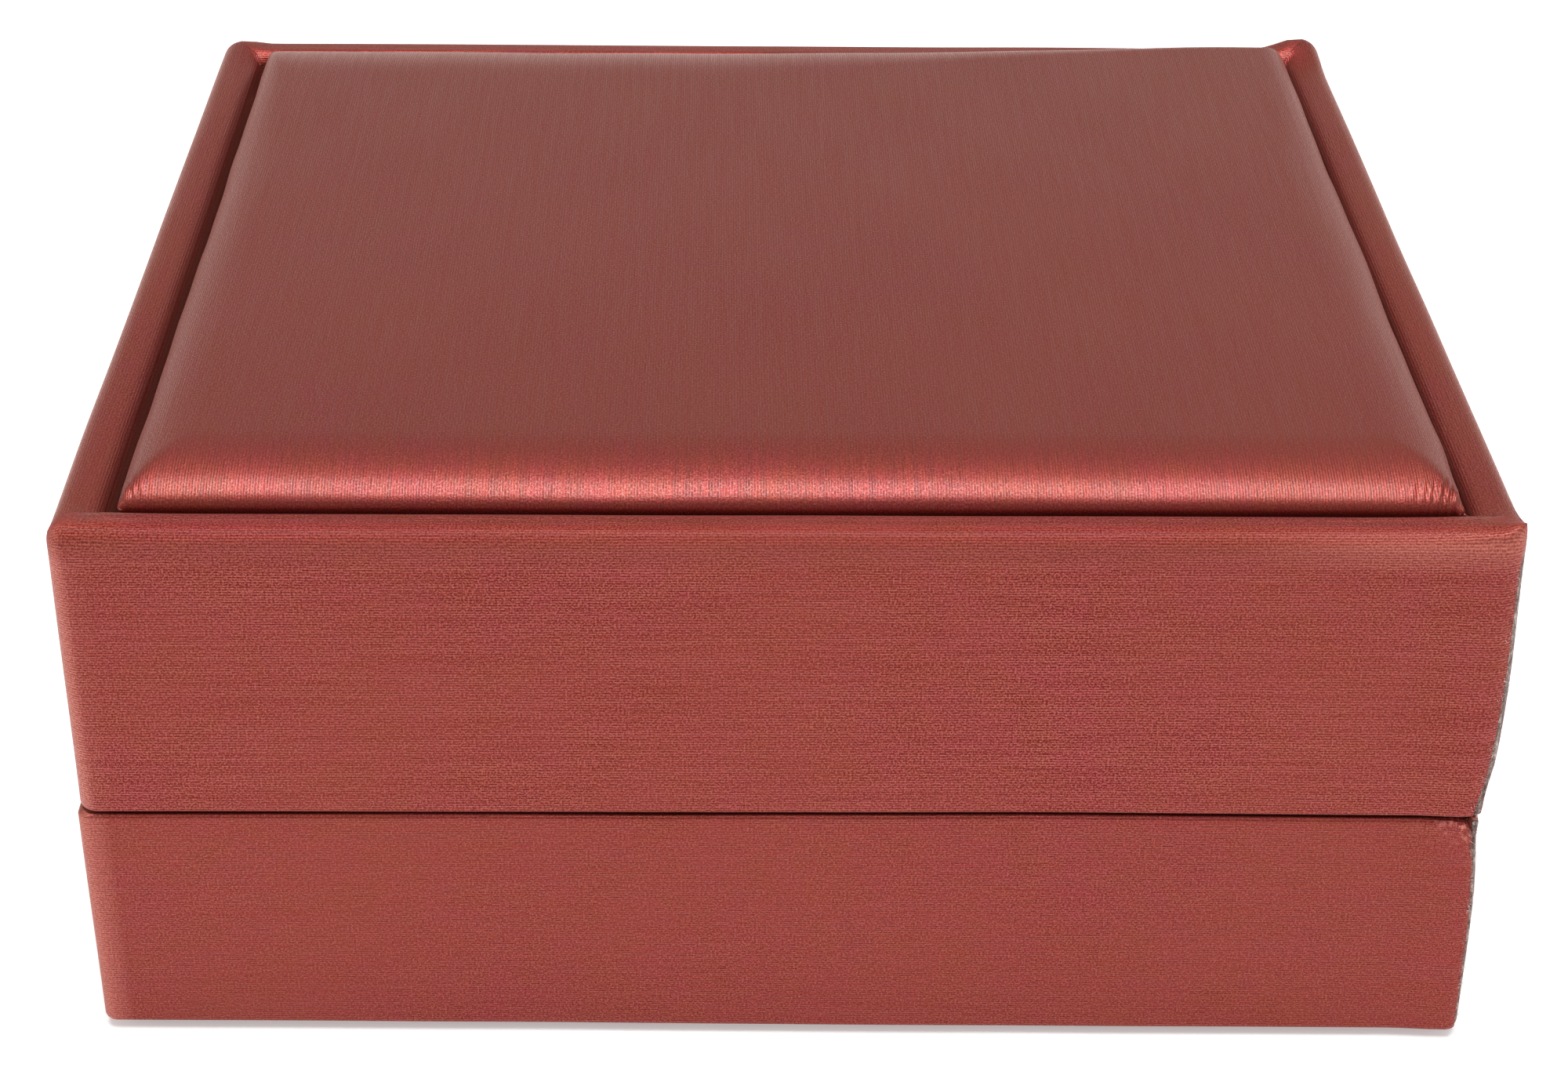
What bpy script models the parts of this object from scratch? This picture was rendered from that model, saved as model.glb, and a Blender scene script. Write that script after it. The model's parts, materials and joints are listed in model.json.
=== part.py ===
"""A necklace box with a padded lid, two sprung hinges and a velvet pad that lifts out.

Metres, +Z up. The box stands on z = 0 with its middle over the origin. The front faces -Y and
the hinges are along the back. Every piece is at rest, with the lid closed and the pad down.
"""

import math

import bmesh
import bpy
from mathutils import Matrix, Vector

# Outside of the box, over the covering
WIDTH = 0.100
DEPTH = 0.0905
BASE_HEIGHT = 0.0197
LID_HEIGHT = 0.0224
PARTING_GAP = 0.0003
CORNER_RADIUS = 0.0020
INNER_CORNER_RADIUS = 0.0007
RIM_RADIUS = 0.0013
EDGE_RADIUS = 0.0008

# Glued faces, boards and the covering
CLEARANCE = 0.0003
WRAP_THICKNESS = 0.0005
WALL_BOARD = 0.0019
FLOOR_BOARD = 0.0020
BOTTOM_SHEET = 0.0003
BOTTOM_SHEET_INSET = 0.0030
BASE_TURN_UNDER = 0.0080
BASE_TURN_IN = 0.0100
LID_TURN_IN = 0.0136

# Collar of flocked card inside the walls
COLLAR_THICKNESS = 0.0012
COLLAR_STAND = 0.0033

# Padded panel in the lid's recess
RECESS_DEPTH = 0.0046
DECK_BOARD = 0.0018
PANEL_GROOVE = 0.0005
PANEL_BOARD = 0.0012
PANEL_COVER = 0.0005
PANEL_EDGE_DROP = 0.0010
PANEL_CROWN = 0.0020
PANEL_SHOULDER = 0.0070
PANEL_CORNER_RADIUS = 0.0012
PANEL_TURN_UNDER = 0.0060

# Satin lining inside the lid
LINING_BOARD = 0.0010
LINING_SATIN = 0.0004
LINING_EDGE = 0.0022
LINING_CROWN = 0.0014
LINING_SHOULDER = 0.0070
LINING_CORNER_RADIUS = 0.0012

# Velvet pad that lifts out of the base
PAD_BOARD = 0.0010
PAD_VELVET = 0.0005
PAD_TOP_DROP = 0.0002
PAD_CROWN = 0.0014
PAD_EDGE = 0.0020
PAD_SHOULDER = 0.0050
PAD_CORNER_RADIUS = 0.0012
PAD_HEM = 0.0010
SLOT_LENGTH = 0.0100
SLOT_WIDTH = 0.0016
SLOT_FROM_SIDE = 0.0207
SLOT_FROM_BACK = 0.0120

# Sprung hinges, rolled from sheet
HINGE_FROM_SIDE = 0.0220
HINGE_WIDTH = 0.0180
AXIS_INSET = 0.0015
OPEN_ANGLE = 100.0
GROOVE_SPARE_ANGLE = 4.0
LEAF_THICKNESS = 0.0006
LEAF_LENGTH = 0.0090
LEAF_BEND_RADIUS = 0.0006
KNUCKLE_COUNT = 5
KNUCKLE_GAP = 0.0003
ROLL_ANGLE = 270.0
PIN_RADIUS = 0.0005
PIN_RUNNING_GAP = 0.00005
PIN_HEAD_RADIUS = 0.0009
PIN_HEAD_LENGTH = 0.0005
POCKET_CLEARANCE = 0.00035
SPRING_THICKNESS = 0.00025
SPRING_WIDTH = 0.0060
SPRING_REACH = 0.0046
SPRING_BOW = 0.0016
TACK_RADIUS = 0.00045
TACK_HEAD_RADIUS = 0.0013
TACK_HEAD_HEIGHT = 0.0004
TACK_SPACING = 0.0120
TACK_REACH = 0.0064

# How finely round shapes are divided
CORNER_STEPS = 3
EDGE_STEPS = 2
RIM_STEPS = 3
ROLL_STEPS = 12
SPRING_STEPS = 12
TURNED_STEPS = 12
SHOULDER_STEPS = 5
CROWN_POWER = 2.0

# Insets from the box's outside, and heights, that more than one piece uses
SKIN = WRAP_THICKNESS + CLEARANCE
WALL = WALL_BOARD + 2 * SKIN
BOARD_OUTER_INSET = SKIN
BOARD_INNER_INSET = SKIN + WALL_BOARD
INSIDE_BOARD_INSET = BOARD_INNER_INSET + CLEARANCE
FOOT = BOTTOM_SHEET + CLEARANCE
FLOOR_BOTTOM = FOOT + SKIN
FLOOR_TOP = FLOOR_BOTTOM + FLOOR_BOARD
LID_BOTTOM = BASE_HEIGHT + PARTING_GAP
RIM_TOP = LID_BOTTOM + LID_HEIGHT
DECK_TOP = RIM_TOP - RECESS_DEPTH
DECK_BOTTOM = DECK_TOP - DECK_BOARD
INSIDE_X = WIDTH / 2 - WALL
INSIDE_Y = DEPTH / 2 - WALL

# The hinge axis, and the V groove along the back that lets the lid swing and stops it
AXIS_Y = DEPTH / 2 - AXIS_INSET
AXIS_Z = BASE_HEIGHT + PARTING_GAP / 2
GROOVE_ANGLE = math.radians((OPEN_ANGLE + GROOVE_SPARE_ANGLE) / 2)
GROOVE_RISE = AXIS_INSET * math.tan(GROOVE_ANGLE)

# Hinge places, and sizes that follow from the sheet and the pin
HINGE_X = WIDTH / 2 - HINGE_FROM_SIDE
ROLL_RADIUS = PIN_RADIUS + PIN_RUNNING_GAP + LEAF_THICKNESS / 2
KNUCKLE_RADIUS = ROLL_RADIUS + LEAF_THICKNESS / 2
LEAF_Y = INSIDE_Y - CLEARANCE - LEAF_THICKNESS / 2
SPRING_ROOT_Y = LEAF_Y - LEAF_THICKNESS / 2 - CLEARANCE - SPRING_THICKNESS / 2
SPRING_FRONT_Y = SPRING_ROOT_Y - SPRING_BOW - SPRING_THICKNESS / 2
POCKET_HALF_WIDTH = HINGE_WIDTH / 2 + CLEARANCE + PIN_HEAD_LENGTH + POCKET_CLEARANCE
TACK_HEAD_Y = LEAF_Y - LEAF_THICKNESS / 2 - CLEARANCE
TACK_LENGTH = INSIDE_Y + SKIN + 0.65 * WALL_BOARD - TACK_HEAD_Y

# The collar's faces and the pad's outline inside it
COLLAR_BOTTOM = FLOOR_TOP + CLEARANCE
COLLAR_TOP = AXIS_Z + COLLAR_STAND
COLLAR_OUTER_X = INSIDE_X - CLEARANCE
COLLAR_OUTER_Y = INSIDE_Y - CLEARANCE
COLLAR_INNER_X = COLLAR_OUTER_X - COLLAR_THICKNESS
COLLAR_FRONT_Y = -COLLAR_OUTER_Y + COLLAR_THICKNESS
COLLAR_BACK_Y = SPRING_FRONT_Y - CLEARANCE / 2
PAD_AREA = (COLLAR_INNER_X - CLEARANCE, COLLAR_FRONT_Y + CLEARANCE, COLLAR_BACK_Y - CLEARANCE)
PAD_TOP = AXIS_Z - PAD_TOP_DROP
SLOT_X = PAD_AREA[0] - SLOT_FROM_SIDE

WHOLE_AREA = (WIDTH / 2, -DEPTH / 2, DEPTH / 2)
PANEL_AREA = (INSIDE_X - PANEL_GROOVE, PANEL_GROOVE - INSIDE_Y, INSIDE_Y - PANEL_GROOVE)
LINING_AREA = (COLLAR_OUTER_X, -COLLAR_OUTER_Y, COLLAR_OUTER_Y)

# Colour, roughness and metallic value of each finish
FINISHES = {
    "brushed covering": ((0.39, 0.068, 0.060), 0.36, 0.55),
    "greyboard": ((0.36, 0.32, 0.27), 0.90, 0.0),
    "bottom paper": ((0.060, 0.018, 0.016), 0.80, 0.0),
    "flock": ((0.72, 0.66, 0.55), 0.95, 0.0),
    "foam": ((0.80, 0.78, 0.70), 0.95, 0.0),
    "satin": ((0.78, 0.71, 0.60), 0.38, 0.0),
    "plated steel": ((0.62, 0.58, 0.50), 0.30, 1.0),
    "spring steel": ((0.52, 0.52, 0.53), 0.25, 1.0),
}


def clear_scene():
    for item in list(bpy.data.objects):
        bpy.data.objects.remove(item, do_unlink=True)


def new_collection(name):
    collection = bpy.data.collections.new(name)
    bpy.context.scene.collection.children.link(collection)
    return collection


clear_scene()
PARTS = new_collection("necklace_box")
CUTTERS = new_collection("cutters")


def new_object(name, shape, collection=None):
    """An object from a bmesh, which is freed."""
    mesh = bpy.data.meshes.new(name)
    shape.to_mesh(mesh)
    shape.free()
    piece = bpy.data.objects.new(name, mesh)
    (collection or PARTS).objects.link(piece)
    return piece


def finished(piece, finish, pivot=None):
    """Gives the piece its own material and hangs it on its body's pivot."""
    color, roughness, metallic = FINISHES[finish]
    material = bpy.data.materials.new(piece.name)
    material.use_nodes = True
    shader = material.node_tree.nodes["Principled BSDF"]
    shader.inputs["Base Color"].default_value = (*color, 1.0)
    shader.inputs["Roughness"].default_value = roughness
    shader.inputs["Metallic"].default_value = metallic
    material.diffuse_color = (*color, 1.0)
    piece.data.materials.append(material)
    if pivot:
        piece.parent = pivot
        piece.matrix_parent_inverse = Matrix.Translation(-pivot.location)
    return piece


def new_pivot(name, location):
    pivot = bpy.data.objects.new(name, None)
    pivot.location = location
    pivot.empty_display_size = WIDTH / 10
    PARTS.objects.link(pivot)
    return pivot


def as_cutter(piece):
    piece.display_type = "WIRE"
    piece.hide_render = True
    return piece


def cut(piece, *cutters):
    for cutter in cutters:
        boolean = piece.modifiers.new(cutter.name, "BOOLEAN")
        boolean.operation = "DIFFERENCE"
        boolean.object = cutter


def box_shape(low, high):
    """A box between two corners, as a bmesh about its own middle, and that middle."""
    low, high = Vector(low), Vector(high)
    shape = bmesh.new()
    bmesh.ops.create_cube(shape, size=1.0, matrix=Matrix.Diagonal((*(high - low), 1.0)))
    return shape, (low + high) / 2


def box_cutter(name, low, high):
    shape, middle = box_shape(low, high)
    cutter = new_object(name, shape, CUTTERS)
    cutter.location = middle
    return as_cutter(cutter)


def eased(shape, edges, offset, segments):
    if offset > CLEARANCE / 10 and edges:
        bmesh.ops.bevel(
            shape, geom=edges, offset=offset, segments=segments, profile=0.5, affect="EDGES"
        )


def upright_edges(shape, outward):
    """The upright edges on one side along Y, or all of them for 0."""
    return [
        edge
        for edge in shape.edges
        if abs(edge.verts[0].co.z - edge.verts[1].co.z) > CLEARANCE
        and edge.verts[0].co.y * outward >= 0
    ]


def edges_at_height(shape, height):
    return [
        edge
        for edge in shape.edges
        if all(abs(corner.co.z - height) < CLEARANCE / 10 for corner in edge.verts)
    ]


def wall_board(name, low, high, outward, top_radius, bottom_radius):
    """A wall board. Its upright edges are rounded on the side that faces outward along Y, and
    its long edges are eased under the covering's own bends."""
    shape, middle = box_shape(low, high)
    if outward:
        upright = upright_edges(shape, outward)
        eased(shape, upright, CORNER_RADIUS - BOARD_OUTER_INSET, CORNER_STEPS)
    half_height = (high[2] - low[2]) / 2
    eased(shape, edges_at_height(shape, half_height), top_radius - SKIN, 1)
    eased(shape, edges_at_height(shape, -half_height), bottom_radius - SKIN, 1)
    board = new_object(name, shape)
    board.location = middle
    return board


def four_walls(prefix, bottom, top, top_radius, bottom_radius, pivot=None):
    """Front and back boards over the full width, with the side boards between them."""
    outer_x = WIDTH / 2 - BOARD_OUTER_INSET
    inner_x = WIDTH / 2 - BOARD_INNER_INSET
    outer_y = DEPTH / 2 - BOARD_OUTER_INSET
    inner_y = DEPTH / 2 - BOARD_INNER_INSET
    side_y = inner_y - CLEARANCE
    places = {
        "front": ((-outer_x, -outer_y), (outer_x, -inner_y), -1),
        "back": ((-outer_x, inner_y), (outer_x, outer_y), 1),
        "left": ((-outer_x, -side_y), (-inner_x, side_y), 0),
        "right": ((inner_x, -side_y), (outer_x, side_y), 0),
    }
    boards = {}
    for side, (low, high, outward) in places.items():
        board = wall_board(
            f"{prefix}_{side}_board",
            (*low, bottom),
            (*high, top),
            outward,
            top_radius,
            bottom_radius,
        )
        boards[side] = finished(board, "greyboard", pivot)
    return boards


def plain_board(name, half_x, half_y, bottom, top, finish, pivot=None, corner_radius=0.0):
    shape, middle = box_shape((-half_x, -half_y, bottom), (half_x, half_y, top))
    eased(shape, upright_edges(shape, 0), corner_radius, CORNER_STEPS)
    board = new_object(name, shape)
    board.location = middle
    return finished(board, finish, pivot)


def ring(area, inset, radius, height, back_limit=DEPTH):
    """A rounded rectangle of points at one height, anticlockwise from above, cut off straight
    at the back limit."""
    half_x, front, back = area
    half_x, front, back = half_x - inset, front + inset, back - inset
    corners = (
        (half_x - radius, back - radius),
        (radius - half_x, back - radius),
        (radius - half_x, front + radius),
        (half_x - radius, front + radius),
    )
    points = []
    for quarter, (x, y) in enumerate(corners):
        for step in range(CORNER_STEPS + 1):
            angle = math.pi / 2 * (quarter + step / CORNER_STEPS)
            across = y + radius * math.sin(angle)
            points.append((x + radius * math.cos(angle), min(across, back_limit), height))
    return points


def loft(name, rings, close_first=False, close_last=False):
    """A surface through rings of equal count, whose unlike corners no primitive or sweep gives."""
    shape = bmesh.new()
    loops = [[shape.verts.new(point) for point in points] for points in rings]
    for lower, upper in zip(loops, loops[1:]):
        for here in range(len(lower)):
            following = (here + 1) % len(lower)
            shape.faces.new((lower[here], lower[following], upper[following], upper[here]))
    if close_first:
        shape.faces.new(reversed(loops[0]))
    if close_last:
        shape.faces.new(loops[-1])
    return new_object(name, shape)


def thickened(piece, thickness, offset=-1.0):
    solidify = piece.modifiers.new("thickness", "SOLIDIFY")
    solidify.thickness = thickness
    solidify.offset = offset
    solidify.use_even_offset = True
    return piece


def arc(centre_inset, centre_height, radius, start, stop, steps):
    """Points of a rounded edge, as insets and heights. 180 faces out, 90 up and 0 in."""
    angles = [math.radians(start + (stop - start) * step / steps) for step in range(steps + 1)]
    return [
        (centre_inset + radius * math.cos(angle), centre_height + radius * math.sin(angle))
        for angle in angles
    ]


def groove_inset(height):
    """How far the V groove along the back cuts in at this height."""
    rise = max(BASE_HEIGHT - height, height - LID_BOTTOM)
    return max(0.0, AXIS_INSET - rise / math.tan(GROOVE_ANGLE))


def wrap_skin(name, profile):
    """Covering folded round the wall boards, from the insets and heights of its outer side."""
    rings = [
        ring(
            WHOLE_AREA,
            inset,
            max(CORNER_RADIUS - inset, INNER_CORNER_RADIUS),
            height,
            DEPTH / 2 - groove_inset(height),
        )
        for inset, height in profile
    ]
    return thickened(loft(name, rings), WRAP_THICKNESS)


def groove_cutter(name, side):
    """The groove's slope under the covering. Side is 1 for the lid and -1 for the base."""
    reach = 10 * AXIS_INSET
    shape, _ = box_shape((-WIDTH, -reach, -reach), (WIDTH, reach, reach))
    cutter = new_object(name, shape, CUTTERS)
    cutter.rotation_euler = (side * GROOVE_ANGLE, 0, 0)
    away = Vector((0, -math.sin(GROOVE_ANGLE), side * math.cos(GROOVE_ANGLE)))
    edge = Vector((0, AXIS_Y, LID_BOTTOM if side > 0 else BASE_HEIGHT))
    cutter.location = edge + away * (SKIN - reach)
    return as_cutter(cutter)


def crown_stations(shoulder, rise, depth):
    """Distances in from a pad's edge and heights over it: a quarter ellipse and a flat middle."""
    stations = []
    for step in range(SHOULDER_STEPS + 1):
        share = 1 - math.cos(math.pi / 2 * step / SHOULDER_STEPS)
        height = (1 - (1 - share) ** CROWN_POWER) ** (1 / CROWN_POWER)
        stations.append((shoulder * share, rise * height))
    return stations + [(depth, rise)]


def pad_rings(area, stations, radius):
    """Rings whose corners get rounder towards a pad's middle."""
    return [
        ring(area, inset, radius + inset / 2, height)
        for inset, height in stations
    ]


def covered_pad(name, area, side, edge, rise, shoulder, radius, thickness, turned, upward):
    """A cover pulled over a pad: a hem turned in, a side and a crown. Side is the height where
    the cover starts and edge where its crown does. Upward is 1 for a crown on top, -1 below."""
    depth = 0.6 * min(area[0], (area[2] - area[1]) / 2)
    stations = [(0.0, side)]
    if turned:
        stations = [(turned, side), (thickness, side), (0.0, side + upward * thickness)]
    stations += [
        (inset, edge + upward * height) for inset, height in crown_stations(shoulder, rise, depth)
    ]
    rings = pad_rings(area, stations, radius)
    cover = loft(name, rings, close_last=True)
    if upward < 0:
        cover.data.flip_normals()
    return thickened(cover, thickness)


def foam_block(name, area, bottom, edge, rise, shoulder, radius, sunk, upward):
    """Foam that fills a cover, with the cover's crown moved in and down by what sinks it."""
    depth = 0.6 * min(area[0], (area[2] - area[1]) / 2)
    stations = [(sunk, bottom)]
    stations += [
        (inset + sunk, edge + upward * (height - sunk))
        for inset, height in crown_stations(shoulder, rise, depth)
    ]
    block = loft(name, pad_rings(area, stations, radius), close_first=True, close_last=True)
    if upward < 0:
        block.data.flip_normals()
    return block


def strip(name, path, x, width, thickness):
    """A strip of sheet metal of one width, bent along a path of (y, z) points."""
    shape = bmesh.new()
    left = [shape.verts.new((-width / 2, *point)) for point in path]
    right = [shape.verts.new((width / 2, *point)) for point in path]
    for here in range(len(path) - 1):
        shape.faces.new((left[here], right[here], right[here + 1], left[here + 1]))
    piece = new_object(name, shape)
    piece.location = (x, AXIS_Y, AXIS_Z)
    return thickened(piece, thickness, offset=0.0)


def turned(name, profile, rotation, location, collection=None):
    """A turned piece from a profile of (radius, height) points, top to bottom."""
    shape = bmesh.new()
    points = [shape.verts.new((radius, 0, height)) for radius, height in profile]
    for upper, lower in zip(points, points[1:]):
        shape.edges.new((upper, lower))
    piece = new_object(name, shape, collection)
    piece.rotation_euler = rotation
    piece.location = location
    screw = piece.modifiers.new("turning", "SCREW")
    screw.steps = TURNED_STEPS
    screw.render_steps = TURNED_STEPS
    screw.use_merge_vertices = True
    screw.merge_threshold = 0.000001
    return piece


# Pivots of the two moving bodies
lid_pivot = new_pivot("lid_pivot", (0, AXIS_Y, AXIS_Z))
pad_guide = new_pivot("pad_guide", (0, 0, COLLAR_BOTTOM))

# Base: boards, covering and bottom sheet
base_walls = four_walls("base", FLOOR_BOTTOM, BASE_HEIGHT - SKIN, EDGE_RADIUS, EDGE_RADIUS)
plain_board(
    "base_floor_board",
    WIDTH / 2 - INSIDE_BOARD_INSET,
    DEPTH / 2 - INSIDE_BOARD_INSET,
    FLOOR_BOTTOM,
    FLOOR_TOP,
    "greyboard",
)
base_wrap = wrap_skin(
    "base_wrap",
    [(BASE_TURN_UNDER, FOOT)]
    + arc(EDGE_RADIUS, FOOT + EDGE_RADIUS, EDGE_RADIUS, 270, 180, EDGE_STEPS)
    + [(0.0, BASE_HEIGHT - GROOVE_RISE)]
    + arc(EDGE_RADIUS, BASE_HEIGHT - EDGE_RADIUS, EDGE_RADIUS, 180, 90, EDGE_STEPS)
    + arc(WALL - EDGE_RADIUS, BASE_HEIGHT - EDGE_RADIUS, EDGE_RADIUS, 90, 0, EDGE_STEPS)
    + [(WALL, BASE_HEIGHT - BASE_TURN_IN)],
)
finished(base_wrap, "brushed covering")
plain_board(
    "base_bottom_sheet",
    WIDTH / 2 - BOTTOM_SHEET_INSET,
    DEPTH / 2 - BOTTOM_SHEET_INSET,
    0.0,
    BOTTOM_SHEET,
    "bottom paper",
)

# Collar: four strips of flocked card, the back one as deep as the hinges need
collar_places = {
    "front": ((-COLLAR_OUTER_X, -COLLAR_OUTER_Y), (COLLAR_OUTER_X, COLLAR_FRONT_Y)),
    "left": (
        (-COLLAR_OUTER_X, COLLAR_FRONT_Y + CLEARANCE),
        (-COLLAR_INNER_X, COLLAR_OUTER_Y),
    ),
    "right": (
        (COLLAR_INNER_X, COLLAR_FRONT_Y + CLEARANCE),
        (COLLAR_OUTER_X, COLLAR_OUTER_Y),
    ),
    "back": (
        (CLEARANCE - COLLAR_INNER_X, COLLAR_BACK_Y),
        (COLLAR_INNER_X - CLEARANCE, COLLAR_OUTER_Y),
    ),
}
collar = {}
for side, (low, high) in collar_places.items():
    shape, middle = box_shape((*low, COLLAR_BOTTOM), (*high, COLLAR_TOP))
    eased(shape, edges_at_height(shape, (COLLAR_TOP - COLLAR_BOTTOM) / 2), CLEARANCE, 1)
    collar[side] = new_object(f"collar_{side}", shape)
    collar[side].location = middle
    finished(collar[side], "flock")

# Insert: folded card platform, foam and velvet, with two slots for the chain
PLATFORM_AREA = (PAD_AREA[0] - PAD_VELVET, PAD_AREA[1] + PAD_VELVET, PAD_AREA[2] - PAD_VELVET)
PAD_EDGE_Z = PAD_TOP - PAD_CROWN
PLATFORM_TOP = PAD_EDGE_Z - PAD_EDGE
PLATFORM_BOTTOM = FLOOR_TOP + CLEARANCE
PLATFORM_SIDE = CLEARANCE
platform_rings = [
    ring(PLATFORM_AREA, PLATFORM_SIDE, PAD_CORNER_RADIUS, height)
    for height in (PLATFORM_BOTTOM, PLATFORM_TOP)
]
pad_platform = thickened(loft("pad_platform", platform_rings, close_last=True), PAD_BOARD)
finished(pad_platform, "greyboard", pad_guide)
pad_foam = foam_block(
    "pad_foam",
    PAD_AREA,
    PLATFORM_TOP + CLEARANCE,
    PAD_EDGE_Z,
    PAD_CROWN,
    PAD_SHOULDER,
    PAD_CORNER_RADIUS,
    PAD_VELVET + CLEARANCE,
    1,
)
finished(pad_foam, "foam", pad_guide)
pad_velvet = covered_pad(
    "pad_velvet",
    PAD_AREA,
    PLATFORM_BOTTOM + PAD_HEM,
    PAD_EDGE_Z,
    PAD_CROWN,
    PAD_SHOULDER,
    PAD_CORNER_RADIUS,
    PAD_VELVET,
    0.0,
    1,
)
finished(pad_velvet, "flock", pad_guide)
for side, direction in (("left", -1), ("right", 1)):
    slot_y = PAD_AREA[2] - SLOT_FROM_BACK
    slot = box_cutter(
        f"chain_slot_{side}",
        (direction * SLOT_X - SLOT_LENGTH / 2, slot_y - SLOT_WIDTH / 2, PLATFORM_TOP - 2 * PAD_BOARD),
        (direction * SLOT_X + SLOT_LENGTH / 2, slot_y + SLOT_WIDTH / 2, PAD_TOP + PAD_CROWN),
    )
    for piece in (pad_platform, pad_foam, pad_velvet):
        cut(piece, slot)

# Lid: boards, deck and covering
lid_walls = four_walls("lid", LID_BOTTOM + SKIN, RIM_TOP - SKIN, RIM_RADIUS, EDGE_RADIUS, lid_pivot)
plain_board(
    "lid_deck_board",
    WIDTH / 2 - INSIDE_BOARD_INSET,
    DEPTH / 2 - INSIDE_BOARD_INSET,
    DECK_BOTTOM,
    DECK_TOP,
    "greyboard",
    lid_pivot,
)
lid_wrap = wrap_skin(
    "lid_wrap",
    [(WALL, LID_BOTTOM + LID_TURN_IN)]
    + arc(WALL - EDGE_RADIUS, LID_BOTTOM + EDGE_RADIUS, EDGE_RADIUS, 0, -90, EDGE_STEPS)
    + arc(EDGE_RADIUS, LID_BOTTOM + EDGE_RADIUS, EDGE_RADIUS, 270, 180, EDGE_STEPS)
    + [(0.0, LID_BOTTOM + GROOVE_RISE)]
    + arc(RIM_RADIUS, RIM_TOP - RIM_RADIUS, RIM_RADIUS, 180, 90, RIM_STEPS)
    + arc(WALL - RIM_RADIUS, RIM_TOP - RIM_RADIUS, RIM_RADIUS, 90, 0, RIM_STEPS)
    + [(WALL, DECK_TOP + CLEARANCE)],
)
finished(lid_wrap, "brushed covering", lid_pivot)

# Padded panel: board, foam and covering, crowned over the rim
PANEL_BOTTOM = DECK_TOP + CLEARANCE
PANEL_BOARD_BOTTOM = PANEL_BOTTOM + PANEL_COVER + CLEARANCE
PANEL_BOARD_TOP = PANEL_BOARD_BOTTOM + PANEL_BOARD
PANEL_EDGE_Z = RIM_TOP - PANEL_EDGE_DROP
PANEL_RISE = PANEL_EDGE_DROP + PANEL_CROWN
PANEL_SUNK = PANEL_COVER + CLEARANCE
plain_board(
    "lid_pad_board",
    PANEL_AREA[0] - PANEL_SUNK,
    PANEL_AREA[2] - PANEL_SUNK,
    PANEL_BOARD_BOTTOM,
    PANEL_BOARD_TOP,
    "greyboard",
    lid_pivot,
    PANEL_CORNER_RADIUS - PANEL_SUNK,
)
lid_pad_foam = foam_block(
    "lid_pad_foam",
    PANEL_AREA,
    PANEL_BOARD_TOP + CLEARANCE,
    PANEL_EDGE_Z,
    PANEL_RISE,
    PANEL_SHOULDER,
    PANEL_CORNER_RADIUS,
    PANEL_SUNK,
    1,
)
finished(lid_pad_foam, "foam", lid_pivot)
lid_pad_cover = covered_pad(
    "lid_pad_cover",
    PANEL_AREA,
    PANEL_BOTTOM,
    PANEL_EDGE_Z,
    PANEL_RISE,
    PANEL_SHOULDER,
    PANEL_CORNER_RADIUS,
    PANEL_COVER,
    PANEL_TURN_UNDER,
    1,
)
finished(lid_pad_cover, "brushed covering", lid_pivot)

# Lining: board, foam and satin under the deck, crowned downwards
LINING_TOP = DECK_BOTTOM - CLEARANCE
LINING_BOARD_BOTTOM = LINING_TOP - LINING_BOARD
LINING_EDGE_Z = LINING_BOARD_BOTTOM - LINING_EDGE
LINING_SUNK = LINING_SATIN + CLEARANCE
plain_board(
    "lid_lining_board",
    LINING_AREA[0] - LINING_SUNK,
    LINING_AREA[2] - LINING_SUNK,
    LINING_BOARD_BOTTOM,
    LINING_TOP,
    "greyboard",
    lid_pivot,
    LINING_CORNER_RADIUS - LINING_SUNK,
)
lid_lining_foam = foam_block(
    "lid_lining_foam",
    LINING_AREA,
    LINING_BOARD_BOTTOM - CLEARANCE,
    LINING_EDGE_Z,
    LINING_CROWN,
    LINING_SHOULDER,
    LINING_CORNER_RADIUS,
    LINING_SUNK,
    -1,
)
finished(lid_lining_foam, "foam", lid_pivot)
lid_lining_satin = covered_pad(
    "lid_lining_satin",
    LINING_AREA,
    LINING_TOP,
    LINING_EDGE_Z,
    LINING_CROWN,
    LINING_SHOULDER,
    LINING_CORNER_RADIUS,
    LINING_SATIN,
    0.0,
    -1,
)
finished(lid_lining_satin, "satin", lid_pivot)

# The back boards' slopes under the groove
cut(lid_walls["back"], groove_cutter("lid_groove", 1))
cut(base_walls["back"], groove_cutter("base_groove", -1))


def leaf_path(side):
    """A leaf from its foot to its rolled eye, about the axis. Side is 1 for the lid's."""
    plate_y = LEAF_Y - AXIS_Y
    bend_y = plate_y + LEAF_BEND_RADIUS
    bend_z = ROLL_RADIUS + LEAF_BEND_RADIUS
    path = [(plate_y, LEAF_LENGTH)]
    for step in range(EDGE_STEPS + 1):
        angle = math.pi + math.pi / 2 * step / EDGE_STEPS
        path.append(
            (
                bend_y + LEAF_BEND_RADIUS * math.cos(angle),
                bend_z + LEAF_BEND_RADIUS * math.sin(angle),
            )
        )
    for step in range(ROLL_STEPS + 1):
        angle = math.radians(90 - ROLL_ANGLE * step / ROLL_STEPS)
        path.append((ROLL_RADIUS * math.cos(angle), ROLL_RADIUS * math.sin(angle)))
    return [(y, side * z) for y, z in path]


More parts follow.
